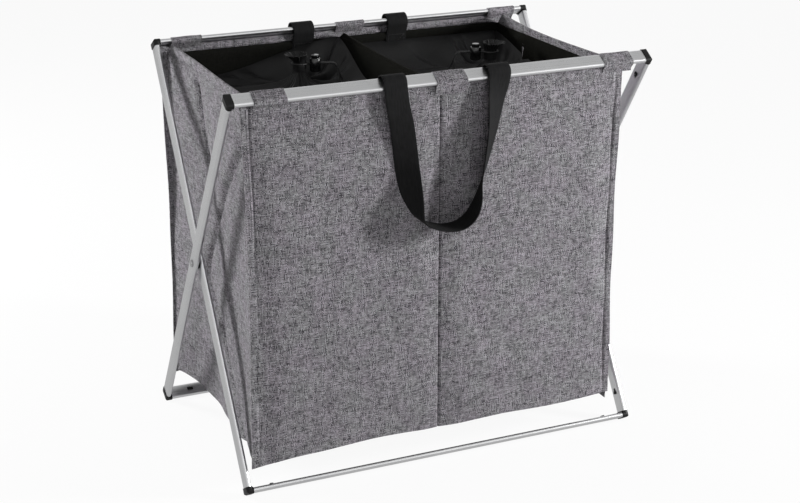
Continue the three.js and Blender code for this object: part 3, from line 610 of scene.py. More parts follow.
RIGID = {  # by the record's material slot: the material, and how far an edge is rounded
    "aluminium": (ALUMINIUM, 0.15 * MM),
    "black_plastic": (MOULDED, 0.6 * MM),
    "gloss_plastic": (GLOSS, 0.4 * MM),
    "steel": (STEEL, 0.15 * MM),
}
slot_of = {part["node"]: part["material_slot"] for part in frame["record"]["subparts"]}
for name, node in nodes.items():
    if slot_of.get(name) not in RIGID:
        continue
    material, edge = RIGID[slot_of[name]]
    node.data.materials.clear()
    node.data.materials.append(material)
    for attribute in ("custom_normal", "sharp_face"):
        if attribute in node.data.attributes:
            node.data.attributes.remove(node.data.attributes[attribute])
    node.data.polygons.foreach_set("use_smooth", [True] * len(node.data.polygons))
    weld = node.modifiers.new("weld", "WELD")
    weld.merge_threshold = 0.01 * MM
    bevel = node.modifiers.new("edge", "BEVEL")
    bevel.width = edge
    bevel.segments = 2
    bevel.limit_method = "ANGLE"
    bevel.angle_limit = math.radians(36)
    bevel.harden_normals = True
    bevel.use_clamp_overlap = True

# ---- Bag: the long panels ----

drape_wide = Waves(3, 0.30, 7, (1, 1.8))
drape_mid = Waves(5, 0.13, 9, (1, 2.2))
drape_fine = Waves(11, 0.055, 10, (1, 1.5))
LEFT_STITCHES_END = 0.36  # the left seam's stitches stop at this height, where its groove fades
CORNER_DROOP, EDGE_DRAW = 12 * MM, 4 * MM


def edge_draw(z):
    """How far the bag's upright edges are drawn in at a height: most at the middle."""
    up = np.clip((np.asarray(z, float) - FLOOR_Z) / (PANEL_TOP - FLOOR_Z), 0, 1)
    return EDGE_DRAW * np.sin(math.pi * up) ** 1.2


def panel_grid(front):
    seams = (LEFT_SEAM, CENTRE_SEAM, RIGHT_SEAM)
    X, Z = np.meshgrid(
        stops(PANEL_LEFT, PANEL_RIGHT, 7 * MM, seams, 0.6 * MM, 3.6 * MM),
        stops(FLOOR_Z - 1 * MM, CLOTH_TOP, 7 * MM, (HEM_Z,), 0.8 * MM, 3.2 * MM),
    )
    # The cloth's drape, quiet under the rail and at the seams.
    out = 1.7 * MM * (1 + drape_wide(X, Z)) + 0.8 * MM * drape_mid(X, Z) + 0.25 * MM * drape_fine(X, Z)
    quiet = smooth(PANEL_TOP, PANEL_TOP - 0.09, Z) * (1 - bump(X, CENTRE_SEAM, 0.018))
    quiet = quiet * smooth(LEFT_SEAM, LEFT_SEAM + 0.03, X) * smooth(RIGHT_SEAM, RIGHT_SEAM - 0.03, X)
    belly = 1.2 * MM * np.sin(math.pi * np.clip((Z - FLOOR_Z) / (HEM_Z - FLOOR_Z), 0, 1)) * quiet
    out = out * (0.15 + 0.85 * quiet) + 1.0 * MM * quiet + belly
    # Grooves along the seams and the hem's line.
    groove = 3.0 * MM * bump(X, CENTRE_SEAM, 1.15 * MM) * smooth(PANEL_TOP - 0.001, PANEL_TOP - 0.006, Z)
    for seam, fade in ((LEFT_SEAM, 1.2 * MM * smooth(0.40, 0.25, Z)), (RIGHT_SEAM, 0)):
        groove = groove + (1.5 * MM - fade) * bump(X, seam, 1.7 * MM)
    groove = groove + 0.5 * MM * bump(Z, HEM_Z, 1.1 * MM)
    out = np.maximum(out, 0) - groove
    fins = 1 - smooth(LEFT_SEAM - 0.002, LEFT_SEAM, X) * smooth(RIGHT_SEAM + 0.002, RIGHT_SEAM, X)
    out = out + fins * 1.2 * MM * np.sin(Z * 41 + X * 9)
    # The lower edge sags, most at the left corner.
    sag = CORNER_DROOP * np.exp(-((X - PANEL_LEFT) / 0.045) ** 1.4)
    sag = sag + 2.5 * MM * np.sin((X - PANEL_LEFT) * 17) ** 2
    Xb = X - (X - BAG_X) / (HALF + FIN) * edge_draw(Z)
    Zb = Z - smooth(FLOOR_Z + 0.10, FLOOR_Z, Z) * (sag - 1.5 * MM)
    P = np.stack([Xb, front * (PANEL_Y + out), Zb], -1)
    return mirrored(front > 0, P, np.stack([X, Z], -1))


for word, front, body in LONG_SIDES:
    P, UV = panel_grid(front)
    xs, zs = UV[0, :, 0], UV[:, 0, 1]
    panel = sheet(f"{word}_cloth", P, UV, CLOTH_T, MELANGE)
    dress(panel, body, "melange_cloth", f"{word}_panel")
    face = P + grid_normals(P) * ON_CLOTH
    threads = [face[nearest(zs, HEM_Z + 2.6 * MM)]]
    for place in (LEFT_SEAM - 4.5 * MM, RIGHT_SEAM + 4.5 * MM, CENTRE_SEAM + 4.2 * MM):
        column = face[:, nearest(xs, place)]
        low_end = LEFT_STITCHES_END if place < LEFT_SEAM else 0
        threads.append(column[(column[:, 2] < PANEL_TOP - 5 * MM) & (column[:, 2] > low_end)])
    for number, line in enumerate(threads):
        thread = stitches(f"{word}_stitch_{number}", line, (0, front, 0), GREY_THREAD)
        dress(thread, body, "melange_cloth")
    # A dark strip in the bottom of the centre seam's groove: partly dark seam tape, partly painted shadow of
    # the seam's gap.
    seam = P[:, nearest(xs, CENTRE_SEAM)] + np.array([0, front * ON_CLOTH, 0])
    seam = resample(seam[seam[:, 2] < PANEL_TOP - 1 * MM], 160)
    section = strap_section(1.5 * MM, 0.7 * MM)
    line = sweep(f"{word}_seam_shadow_line", seam, section, (0, front, 0), BLACK_THREAD)
    dress(line, body, "melange_cloth")

# ---- Bag: side panels ----

side_waves = Waves(21, 0.16, 8, (1, 1.6))
side_fine = Waves(23, 0.06, 8, (1, 1.6))
BOW_LOW, BOW_TOP = 20, 6  # millimetres that a side's middle bows inward, at the floor and at the rail

# The side's two long creases: (y, z) in millimetres, depth and half width.
CREASES = (
    ([(-145, 486), (-57, 403), (8, 332), (55, 264), (67, 229), (42, 202), (-3, 179), (-30, 131),
      (-71, 91), (-104, 56), (-148, 37)], 9 * MM, 7 * MM),
    ([(168, 540), (66, 522), (54, 454), (39, 391)], 7.5 * MM, 7.5 * MM),
)


def beside(y, z, line):
    """Distance in the side's plane from the nearest point of a line given in millimetres."""
    line = resample(np.array(line, float) * MM, 60)
    y, z = np.broadcast_arrays(np.asarray(y, float), np.asarray(z, float))
    return np.hypot(y[..., None] - line[:, 0], z[..., None] - line[:, 1]).min(-1)


def creases(y, z):
    """How far the long creases draw a side inward at a place."""
    return sum(depth * np.exp(-((beside(y, z, line) / width) ** 2)) for line, depth, width in CREASES)


def bow(y, z):
    """How far a side is drawn inward at a place, with a faint crease from its upper rear corner."""
    y, z = np.asarray(y, float), np.asarray(z, float)
    up = (z - FLOOR_Z) / (RAIL_Z - FLOOR_Z)
    lopsided = 1 + 0.25 * np.sin(math.pi * np.clip(y / WALL_Y, -1, 1))
    depth = (BOW_LOW + (BOW_TOP - BOW_LOW) * up) * MM * lopsided
    below = RAIL_Z - z
    off = (y - (WALL_Y - 0.78 * below)) * 0.79
    crease = 1 * MM * np.exp(-((off / (13 * MM)) ** 2)) * smooth(0, 0.05, below) * smooth(0.26, 0.14, below)
    return (depth + crease) * (1 - (y / WALL_Y) ** 2)


def above_hem(z):
    return smooth(HEM_Z - 0.002, HEM_Z + 0.002, z)


def side_run(z):
    """Half the width of a side panel at a height: full below the hem, and notched in round the rails."""
    full = WALL_Y - (WALL_Y - HEM_WALL_Y) * above_hem(z)
    return full - (full - NOTCH_Y) * smooth(PANEL_TOP - 0.004, RAIL_Z, z) ** 0.8


def side_grid(side):
    T, Z = np.meshgrid(
        np.linspace(-1, 1, 79), stops(FLOOR_Z, RAIL_Z, 5.5 * MM, (HEM_Z, PANEL_TOP), 1 * MM, 3 * MM)
    )
    Y = T * side_run(Z)
    flat = np.cos(math.pi / 2 * T) ** 0.8
    wave = 2.2 * MM * side_waves(Y + 0.3 * side, Z) + 0.7 * MM * side_fine(Y, Z)
    wave = wave * flat * smooth(RAIL_Z, RAIL_Z - 0.06, Z)
    edge = (1 - np.abs(T) ** 8) * smooth(RAIL_Z, RAIL_Z - 0.04, Z)
    X = HALF - bow(Y, Z) - edge_draw(Z) * (1 - 0.15 * flat) - CLOTH_T / 2 + wave - creases(Y, Z) * edge
    X = X + 7 * MM * smooth(0.42, 0.2, Z)
    sag = 11 * MM * np.sin(math.pi * (T + 1) / 2) ** 1.2 + 9 * MM * np.exp(-(1 - np.abs(T)) / 0.16)
    Zb = Z - smooth(FLOOR_Z + 0.09, FLOOR_Z, Z) * sag
    Zb = Zb - smooth(RAIL_Z - 0.05, RAIL_Z, Z) * 3 * MM * np.cos(math.pi / 2 * T)
    return mirrored(side < 0, np.stack([BAG_X + side * X, Y, Zb], -1), np.stack([Y, Z], -1))


for word, side in SIDES:
    P, UV = side_grid(side)
    top = [r for r in range(len(P)) if UV[r, 0, 1] > PANEL_TOP - 0.1 * MM]
    low = list(range(top[0] + 1))
    panel = sheet(f"{word}_side_cloth", P[low], UV[low], CLOTH_T, MELANGE)
    dress(panel, "bag", "melange_cloth", f"{word}_side_panel", squash=SIDE_FOLD)
    # The ear above the panel, between the rails: hem and panel in one thickness.
    strip = P[[low[-2]] + top].copy()
    strip[0] = strip[1] - (strip[1] - strip[0]) * 0.25
    ear = sheet(f"{word}_side_hem", strip, UV[[low[-2]] + top], 2.6 * MM, MELANGE, offset=-0.25 * MM)
    dress(ear, "bag", "melange_cloth", f"{word}_hem_band", squash=EAR_FOLD)
    outward = grid_normals(P)[low[-3]]
    thread = stitches(f"{word}_side_stitch", P[low[-3]] + outward * ON_CLOTH, outward, GREY_THREAD)
    dress(thread, "bag", "melange_cloth", squash=SIDE_FOLD)

# ---- Bag: bottom, divider, linings ----


def floor_grid():
    T, Y = np.meshgrid(np.linspace(-1, 1, 61), np.linspace(-WALL_Y, WALL_Y, 41))
    X = T * (HALF - bow(Y, FLOOR_Z) - 1.7 * MM)
    hang = np.cos(math.pi / 2 * T) ** 0.5 * np.cos(math.pi / 2 * Y / WALL_Y) ** 0.5
    sink = 5 * MM * hang * (1 - 0.8 * bump(X, 0, 0.02))
    Z = FLOOR_Z + 1.0 * MM - sink + 1.2 * MM * hang * side_waves(X, Y)
    return np.stack([BAG_X + X, Y, Z], -1)[::-1], np.stack([BAG_X + X, Y], -1)[::-1]


def divider_grid():
    T, Z = np.meshgrid(np.linspace(-1, 1, 41), stops(FLOOR_Z + 3 * MM, DIVIDER_TOP, 9 * MM))
    run = WALL_Y - 0.5 * MM - (WALL_Y - HEM_WALL_Y) * above_hem(Z)
    Y = T * (run - (run - NOTCH_Y) * smooth(PANEL_TOP - 0.004, DIVIDER_TOP, Z))
    flat = np.cos(math.pi / 2 * T)
    X = BAG_X + 2.5 * MM * side_waves(Y, Z) * flat * 0.3
    Zb = Z - smooth(DIVIDER_TOP - 0.06, DIVIDER_TOP, Z) * 3 * MM * flat
    return np.stack([X, Y, Zb], -1), np.stack([Y, Z], -1)


bottom = sheet("bottom_cloth", *floor_grid(), CLOTH_T, MELANGE)
dress(bottom, "bag", "melange_cloth", "bottom_panel", squash=SIDE_FOLD)
divider = sheet("divider_cloth", *divider_grid(), 2 * MM, LINING)
dress(divider, "bag", "lining_cloth", "divider_panel", squash=INNER_FOLD)

lining_waves = Waves(31, 0.12, 8, (1, 1.5))
LINING_CORNER = 10 * MM
LINING_OUT, LINING_IN = 2.4 * MM, 1.6 * MM  # from the side's line, and from the bag's middle


def lining_grid(side):
    """The bin's four walls as one sheet round, from the floor to its upper edge."""
    corner, outer, inner, wall = LINING_CORNER, HALF - LINING_OUT, LINING_IN, WALL_Y - 1.2 * MM
    turn = np.linspace(0, 1, 5)[1:-1]
    length = np.linspace(0, 1, 20)
    reach = wall - corner
    around = [
        (kind, t)
        for kind, places in (
            ("outer", np.linspace(-reach, reach, 26)), ("outer rear", turn),
            ("rear", length), ("inner rear", turn),
            ("inner", np.linspace(reach, -reach, 22)), ("inner front", turn),
            ("front", length), ("outer front", turn),
        )
        for t in places
    ]
    zs = stops(FLOOR_Z + 3.2 * MM, RAIL_Z - 12.5 * MM, 9 * MM)
    P = np.zeros((len(zs), len(around), 3))
    for r, z in enumerate(zs):
        w = wall - (WALL_Y - HEM_WALL_Y) * float(smooth(HEM_Z - 0.004, HEM_Z - 0.001, z))

        def outer_x(y):
            return outer - float(bow(y, z)) - float(creases(y, z)) - float(edge_draw(z))

        end = outer_x(w)
        for c, (kind, t) in enumerate(around):
            rise = corner * (1 - math.sin(t * math.pi / 2))
            run = corner * (1 - math.cos(t * math.pi / 2))
            x, y = {
                "outer": lambda: (outer_x(t), t),
                "inner": lambda: (inner, t),
                "rear": lambda: ((1 - t) * (end - corner) + t * (inner + corner), w),
                "front": lambda: ((1 - t) * (inner + corner) + t * (end - corner), -w),
                "outer rear": lambda: (end - run, w - rise),
                "inner rear": lambda: (inner + rise, w - run),
                "inner front": lambda: (inner + run, -w + rise),
                "outer front": lambda: (end - rise, -w + run),
            }[kind]()
            y = max(-w, min(w, y))
            P[r, c] = (BAG_X + side * x, y, min(z, BAND_LOW - 1.2 * MM) if abs(y) > NOTCH_Y else z)
    U = np.tile(arc_lengths(P, 1)[len(zs) // 2], (len(zs), 1))
    return mirrored(side > 0, P, np.stack([U, np.repeat(zs[:, None], len(around), 1)], -1))


def lining_floor_grid(side):
    X, Y = np.meshgrid(
        np.linspace(3 * MM, HALF - 3 * MM, 30), np.linspace(-WALL_Y + 2 * MM, WALL_Y - 2 * MM, 40)
    )
    X = X * (1 - bow(Y, FLOOR_Z) / HALF)
    Z = FLOOR_Z + 4 * MM + 1.0 * MM * (1 + lining_waves(X * side, Y))
    P, UV = mirrored(side < 0, np.stack([BAG_X + side * X, Y, Z], -1), np.stack([X, Y], -1))
    return P[::-1], UV[::-1]


for word, side in SIDES:
    P, UV = lining_grid(side)
    ripple = np.abs(lining_waves(UV[..., 0], UV[..., 1]) * 1.6 * MM)
    ripple = ripple * smooth(RAIL_Z - 0.03, RAIL_Z - 0.09, P[..., 2])
    P = P + grid_normals(P, True) * ripple[..., None]
    lining = sheet(f"{word}_lining_cloth", P, UV, LINING_T, LINING, wrap=True)
    dress(lining, "bag", "lining_cloth", f"{word}_bin_lining", squash=INNER_FOLD)
    floor_lining = sheet(f"{word}_lining_floor", *lining_floor_grid(side), LINING_T, LINING)
    dress(floor_lining, "bag", "lining_cloth", squash=INNER_FOLD)

# ---- Long hem bands ----

BAND_SEAM_Z = BAND_LOW + 2.5 * MM

for word, front, body in LONG_SIDES:
    X, Z = np.meshgrid(
        stops(PANEL_LEFT, PANEL_RIGHT, 8 * MM),
        stops(BAND_LOW, BAND_TOP, 2 * MM, (BAND_SEAM_Z,), 0.8 * MM, 2.4 * MM),
    )
    y = RAIL_Y - 2.25 * MM + 0.35 * MM * bump(Z, BAND_SEAM_Z, 1 * MM)
    P, UV = mirrored(front < 0, np.stack([X, front * y, Z], -1), np.stack([X, Z], -1))
    band = sheet(f"{word}_hem", P, UV, 1.2 * MM, MELANGE)
    dress(band, body, "melange_cloth", f"{word}_hem_band")

# ---- Loops on the rails ----

LAP_Y = 4.3 * MM  # how far outside the rail's middle a loop's outer end lies
LAP_LOW = {"left": 2.0 * MM, "centre": 8.0 * MM, "right": 3.7 * MM}  # that end, below the panel's top
LOOP_SHARE = 0.88  # of the solid loop's width


def oval_reach(angle, grow):
    """Support point of the rail's flat-oval section, grown, in the direction of angle (Y, Z)."""
    d = np.array([math.cos(angle), math.sin(angle)])
    long_way = np.array([math.cos(LEAN), math.sin(LEAN)])
    half = (TUBE_DEPTH - TUBE_THICK) / 2
    centre = long_way * half * (1 if d @ long_way > 0 else -1)
    return tuple(centre + d * (TUBE_THICK / 2 + grow))


def loop_path(lap_low):
    """Round the front rail, seen along +X: up the outer side from the hem, over, and down inside."""
    top = PANEL_TOP - RAIL_Z
    run = [(-LAP_Y, top - lap_low), (-LAP_Y - 0.2 * MM, top - lap_low + 4 * MM)]
    run += [oval_reach(a, 0.9 * MM) for a in np.linspace(math.radians(236), math.radians(-33), 44)]
    run += [(0.9 * MM, top + 2 * MM), (0.9 * MM, top - 4 * MM)]
    return resample(np.array(run), 70)


for (word, front, body), framed in zip(LONG_SIDES, ("outer_frame", "inner_frame")):
    for number, (place, lap_low) in enumerate(LAP_LOW.items()):
        low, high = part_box(f"{word}_loop_{place}")
        middle, width = (low.x + high.x) / 2, LOOP_SHARE * (high.x - low.x)
        run = loop_path(lap_low)
        X, length = np.meshgrid(np.linspace(-width / 2, width / 2, 17), path_lengths(run))
        Y, Z = (np.repeat(k[:, None], X.shape[1], 1) for k in run.T)
        puff = Waves(40 + 7 * number + (3 if front > 0 else 0), 0.03, 6)
        P, UV, swell = mirrored(
            front < 0, np.stack([middle + X, front * (RAIL_Y - Y), RAIL_Z + Z], -1),
            np.stack([X + middle, length], -1), 0.25 * MM * (1 + puff(X, length))[..., None],
        )
        loop = sheet(f"{word}_{place}_loop_cloth", P + grid_normals(P) * swell, UV, 1.2 * MM, MELANGE)
        across = np.linspace(middle - width / 2 + 2 * MM, middle + width / 2 - 2 * MM, 20)
        y, z = front * (RAIL_Y + LAP_Y + ON_CLOTH), PANEL_TOP - lap_low + 3 * MM
        line = [(x, y, z) for x in across]
        thread = stitches(f"{word}_{place}_loop_stitch", line, (0, front, 0), GREY_THREAD)
        dress(thread, body, "melange_cloth")
        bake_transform(loop)
        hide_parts(f"{word}_loop_{place}")

# ---- Handles ----

STRAP_W, STRAP_T = 32.5 * MM, 1.8 * MM
STRAP_R = 10.9 * MM + STRAP_T / 2  # of the turn over the rail
HALF_PITCH = 74.5 * MM
BAND_FAR = 2.85 * MM  # from the rail's middle to the hem band's inner face
TAIL_LOW, TAIL_FLARE = 34 * MM, 19 * MM  # the sewn end below the panel's top, and where it leaves the hem
PANEL_FAR = 3.85 * MM  # from the rail's middle to the panel's outer face

# The hanging part, with a half turn at each pinch: (across, height) from the rail in millimetres,
# and degrees of twist.
HANDLE_RUN = (
    (-74.5, 0, 0), (-73, -15, 10), (-69, -38, 26), (-63.5, -71, 41), (-57, -99, 50), (-51.5, -121, 56),
    (-46, -142, 64), (-40, -166, 82), (-31, -184, 90), (-18, -194.5, 92), (-5, -197.5, 92),
    (10, -196.5, 92), (29, -190.5, 92), (45, -179.5, 88), (51.5, -158, 62), (56, -134, 38),
    (60, -99, 18), (65.5, -55, 7), (71.5, -25, 0), (74.5, 0, 0),
)


def strap_end():
    """From the sewn end over the rail: steps (y outward, z) from the rail, each with its outward way."""
    tail_y = -(BAND_FAR + 0.3 * MM + STRAP_T / 2)
    leaves = math.pi + math.atan2(STRAP_R - abs(tail_y), TAIL_FLARE)
    heights = np.linspace(PANEL_TOP - RAIL_Z - TAIL_LOW, -TAIL_FLARE, 9)
    sewn = [((tail_y, z), (-1, 0)) for z in heights]
    ring = [(STRAP_R * math.cos(a), STRAP_R * math.sin(a)) for a in np.linspace(leaves, 0, 56)]
    return sewn + [(place, place) for place in ring[1:-1]]


def free_strap():
    """The hanging part: its points, and the way that its outer face looks at each."""
    knots = np.array([(x * MM, 0, z * MM, math.radians(t) * MM) for x, z, t in HANDLE_RUN])
    run = catmull(knots, 161)
    twist = run[:, 3:] / MM
    run = run[:, :3].copy()
    clear = PANEL_FAR + STRAP_T + STRAP_W / 2 * np.abs(np.sin(twist[:, 0]))
    run[:, 1] = np.maximum(STRAP_R, clear)
    side = unit(np.cross(unit(np.gradient(run, axis=0)), (0, 1, 0)))
    return run, -side * np.sin(twist) + np.array([0, 1, 0]) * np.cos(twist)


for (word, front, body), moving in zip(LONG_SIDES, ("front_handle", "rear_handle")):
    low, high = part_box(moving)
    centre_x = (low.x + high.x) / 2
    half, (run, run_outs) = strap_end(), free_strap()
    path = [(-HALF_PITCH, *at) for at, _ in half] + list(run)
    path += [(HALF_PITCH, *at) for at, _ in half[::-1]]
    outs = [(0, *out) for _, out in half]
    outs = outs + list(run_outs) + outs[::-1]
    turn = np.array([front, front, 1])
    path = np.array(path) * turn + np.array([centre_x, front * RAIL_Y, RAIL_Z])
    section = strap_section(STRAP_W, STRAP_T)
    strap = sweep(f"{word}_handle_strap", path, section, np.array(outs) * turn, WEBBING)
    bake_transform(strap)
    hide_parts(moving, f"{word}_handle_end_left", f"{word}_handle_end_right")
    for side_word, side in SIDES:
        y = front * (RAIL_Y - BAND_FAR - 0.35 * MM - STRAP_T)
        x0, x1 = (centre_x + side * HALF_PITCH + k * (STRAP_W / 2 - 3.5 * MM) for k in (-1, 1))
        z0, z1 = PANEL_TOP - 31 * MM, PANEL_TOP - 6 * MM
        box_and_cross = [(x0, z0), (x1, z0), (x1, z1), (x0, z1), (x0, z0), (x1, z1),
                         (x1, z1 - 0.1 * MM), (x0, z1)]
        line = resample(np.array([(x, y, z) for x, z in box_and_cross]), 160)
        thread = stitches(f"{word}_{side_word}_tail_stitch", line, (0, -front, 0), BLACK_THREAD)
        dress(thread, body, "webbing")

# ---- Drawstring tops ----

NECKS = {
    "left": dict(x=BAG_X - 0.369 * HALF, y=0.475 * RAIL_Y, z=RAIL_Z - 25.7 * MM,
                 turn=-0.35, side=-1, keep=0.108),
    "right": dict(x=BAG_X + 0.7225 * HALF, y=0.318 * RAIL_Y, z=RAIL_Z - 29.7 * MM,
                  turn=2.86, side=1, keep=0.1187),
}
RIM_Z = RAIL_Z - 47 * MM
NECK_R = 9 * MM
SKIRT_SAG = 17 * MM
FAN_ANGLE = 0.72  # the left top's deeper folds lie about this bearing from its neck

# The ruffle above the neck's cord: (height in 7 mm, spread in 12 mm, depth of its pleats).
RUFFLE = (
    (-0.8, 0.02, 0.35), (-0.4, 0, 0.3), (0, -0.03, 0.2), (0.35, 0, 0.3), (0.7, 0.1, 0.6),
    (1.0, 0.3, 0.9), (1.3, 0.55, 1.2), (1.6, 0.8, 1.5), (1.85, 1.0, 1.7),
)
skirt_waves = Waves(71, 0.07, 9)


def skirt_ring(side, inset=2.0 * MM, per=90):
    """Where a top is sewn to its bin's four walls, per steps to a wall, and its height at each."""
    wall = WALL_Y - inset - 0.6 * MM
    inner = LINING_IN + inset

    def outer_x(y):
        return HALF - LINING_OUT - inset - float(bow(y, RIM_Z)) - float(edge_draw(RIM_Z))

    end, steps = outer_x(wall), [i / per for i in range(per)]
    ring = [(outer_x(y), y) for y in (-wall + 2 * wall * t for t in steps)]
    ring += [(end * (1 - t) + inner * t, wall) for t in steps]
    ring += [(inner, wall - 2 * wall * t) for t in steps]
    ring += [(inner * (1 - t) + end * t, -wall) for t in steps]
    ring = np.array([(BAG_X + side * x, y) for x, y in ring])
    inward = 1 - np.abs(ring[:, 0] - BAG_X) / HALF
    if side < 0:
        behind = smooth(0.05, 0.17, ring[:, 1])
        rim = 491 * MM + 41 * MM * smooth(0.2, 1.0, inward) * behind
    else:
        behind = smooth(0.0, 0.17, ring[:, 1])
        rim = 495 * MM + 23 * MM * behind
    step = 3.3 * MM * smooth(HEM_Z - 5 * MM, HEM_Z - 1 * MM, rim)
    ring[:, 1] = np.sign(ring[:, 1]) * np.minimum(np.abs(ring[:, 1]), wall - step)
    return ring, rim


def skirt_grid(neck):
    side = neck["side"]
    middle = np.array([neck["x"], neck["y"]])
    ring, rim = skirt_ring(side)
    angle = np.arctan2(ring[:, 1] - neck["y"], ring[:, 0] - neck["x"])
    way = np.stack([np.cos(angle), np.sin(angle)], 1)
    shares = np.concatenate([[0, 0.02, 0.05], np.linspace(0.08, 0.9, 24), [0.93, 0.95, 0.97, 1]])
    sags = np.interp(shares, [0, 0.04, 0.25, 0.5, 0.7, 0.85, 0.95, 1],
                     [0, -0.12, -0.72, -0.95, -0.88, -0.6, -0.1, 0.6])
    wobble = np.random.default_rng(60 + side).uniform(-0.4, 0.4, 12)
    phase = angle * 34 + sum(w * np.sin(k * angle + k) for k, w in enumerate(wobble)) * 3
    coarse_phase = angle * 13 + sum(w * np.cos((k + 1) * angle) for k, w in enumerate(wobble)) * 4
    coarse = np.cos(coarse_phase) * (0.65 + 0.35 * np.cos(angle * 3 + side))
    # The cloth lies calmer where the free cord hangs down to it.
    bearing = neck["turn"] + 0.2 * side
    cord_at = middle + 56 * MM * np.array([math.cos(bearing), math.sin(bearing)])
    neck_low = neck["z"] - 12 * MM
    rows = []
    for s, sag in zip(shares, sags):
        r = (1 - s) * ring + s * (middle + NECK_R * way)
        rim_share = 1 - float(smooth(0, 0.55, s))
        z = RIM_Z + (rim - RIM_Z) * rim_share + (sag * SKIRT_SAG if s < 1 else 0)
        if s > 0.94:
            z = RIM_Z - 2 * MM + (neck_low - RIM_Z + 2 * MM) * (s - 0.94) / 0.06
        calm = 1 - 0.8 * np.exp(-(np.linalg.norm(r - cord_at, axis=1) / (42 * MM)) ** 2)
        swell = smooth(0.0, 0.25, s) * (1 - 0.8 * smooth(0.8, 1, s))
        fine = 1.7 * MM * np.cos(phase) * smooth(0.35, 0.8, s)
        depth = (fine + 4.2 * MM * coarse) * swell * calm
        depth = depth + 2.0 * MM * skirt_waves(r[:, 0], r[:, 1]) * swell * calm
        if side < 0:
            off = angle - FAN_ANGLE
            fan = np.exp(-((off / 0.6) ** 2)) * smooth(0.03, 0.25, s) * (1 - smooth(0.75, 0.95, s))
            depth = depth + 6.5 * MM * np.cos(off * 14 + 2 * s) * fan
        rows.append(np.column_stack([r, z + depth]))
    lean = (1 - 0.85 * np.cos(angle - neck["turn"])) / 1.85
    for rise, spread, pleat in RUFFLE:
        radius = NECK_R + max(spread, 0) * lean * 12 * MM + pleat * 0.45 * MM * np.cos(phase)
        radius = radius - (0.25 * MM if spread < 0 else 0)
        z = neck["z"] + rise * 7 * MM + pleat * 0.5 * MM * coarse * (1 if rise > 0.5 else 0)
        rows.append(np.column_stack([middle + radius[:, None] * way, z]))
    P = np.array(rows)
    U = np.tile(arc_lengths(P, 1)[0], (len(rows), 1))
    return mirrored(side < 0, P, np.stack([U, arc_lengths(P, 0)], -1))


for word, neck in NECKS.items():
    skirt = sheet(f"{word}_top_cloth", *skirt_grid(neck), 0.6 * MM, SKIRT, wrap=True)
    dress(skirt, "bag", "top_cloth", f"{word}_drawstring_skirt", squash=fold(-PANEL_Y, neck["keep"]))

# ---- Drawcords ----

CORD_R = 1.5 * MM
STRAND = 1.9 * MM  # half the distance between the cord's two strands in the lock
LOCK_PLACE, LOCK_R = 22 * MM, 8 * MM
LEVEL, BEND, STEEP = 14.4 * MM, 7.6 * MM, math.radians(76)  # a free cord leaves its lock level and bends
LOOP_R, LOOP_VEER, CORD_STEPS = 7.7 * MM, 0.95, 121
REST_Z = RIM_Z - 0.9 * SKIRT_SAG + (1.1 + 0.8 + 1.5 + 0.3) * MM  # where its loop lies on the cloth


def held_run():
    """From the lock round the neck's tunnel and back, level, with the lock on the +X side."""
    circle = NECK_R + 0.3 * MM + CORD_R
    opening = math.asin(2 * STRAND / circle)
    near, far = LOCK_PLACE - LOCK_R - 0.3 * MM, LOCK_PLACE + LOCK_R + 0.3 * MM
    angles = np.linspace(-opening, opening - 2 * math.pi, 60)
    ring = [(circle * math.cos(a), circle * math.sin(a)) for a in angles]
    run = [(far, -STRAND), (near, -STRAND)] + ring + [(near, STRAND), (far, STRAND)]
    return np.array([(x, y, 0) for x, y in run])


def free_run(veer, drop):
    """Two strands that leave the lock level, past its travel, sink to the cloth and open into a loop."""
    slope = (drop - 2 * BEND * (1 - math.cos(STEEP))) / math.sin(STEEP)
    marks = np.cumsum([0, LEVEL, BEND * STEEP, slope, BEND * STEEP, 2 * LOOP_R])
    fine = np.linspace(0, marks[-1], 1200)
    dip = np.interp(fine, marks, [0, 0, STEEP, STEEP, 0, 0])
    heading = veer * LOOP_VEER * smooth(marks[2], marks[4] + LOOP_R, fine)
    step, down, turned = np.diff(fine), dip[:-1], heading[:-1]
    x, y, z = (
        np.concatenate([[0], np.cumsum(k * step)])
        for k in (np.cos(down) * np.cos(turned), np.cos(down) * np.sin(turned), -np.sin(down))
    )
    places = list(np.linspace(0, marks[4], 90))
    spreads = [STRAND + (LOOP_R - STRAND) * float(smooth(marks[2], marks[4], a)) for a in places]
    for angle in np.linspace(0, math.pi / 2, 24)[1:]:
        places.append(marks[4] + LOOP_R * math.sin(angle))
        spreads.append(LOOP_R * math.cos(angle))
    middle = np.stack([np.interp(places, fine, k) for k in (x, y, z)], 1)
    ahead = np.interp(places, fine, heading)
    across = np.stack([-np.sin(ahead), np.cos(ahead), 0 * ahead], 1) * np.array(spreads)[:, None]
    run = np.concatenate([middle - across, (middle + across)[:-1][::-1]])
    return run + np.array([LOCK_PLACE + LOCK_R + 0.6 * MM, 0, 0])


def eased(run, least=2.15 * 2 * CORD_R, rounds=60):
    """The run with its tight bends drawn out, its two ends and their directions kept."""
    run = resample(run, CORD_STEPS)
    for _ in range(rounds):
        a, b = run[1:-1] - run[:-2], run[2:] - run[1:-1]
        cross = np.linalg.norm(np.cross(a, b), axis=1)
        la, lb = np.linalg.norm(a, axis=1), np.linalg.norm(b, axis=1)
        chord = np.linalg.norm(run[2:] - run[:-2], axis=1)
        tight = la * lb * chord / np.maximum(2 * cross, 1e-15) < least
        tight[:2] = tight[-2:] = False
        if not tight.any():
            break
        near = np.convolve(tight, np.ones(5), "same") > 0
        near[:2] = near[-2:] = False
        pull = (run[:-2] + run[2:]) / 2 - run[1:-1]
        run[1:-1] += 0.5 * pull * near[:, None]
        run = resample(run, CORD_STEPS)
    return run


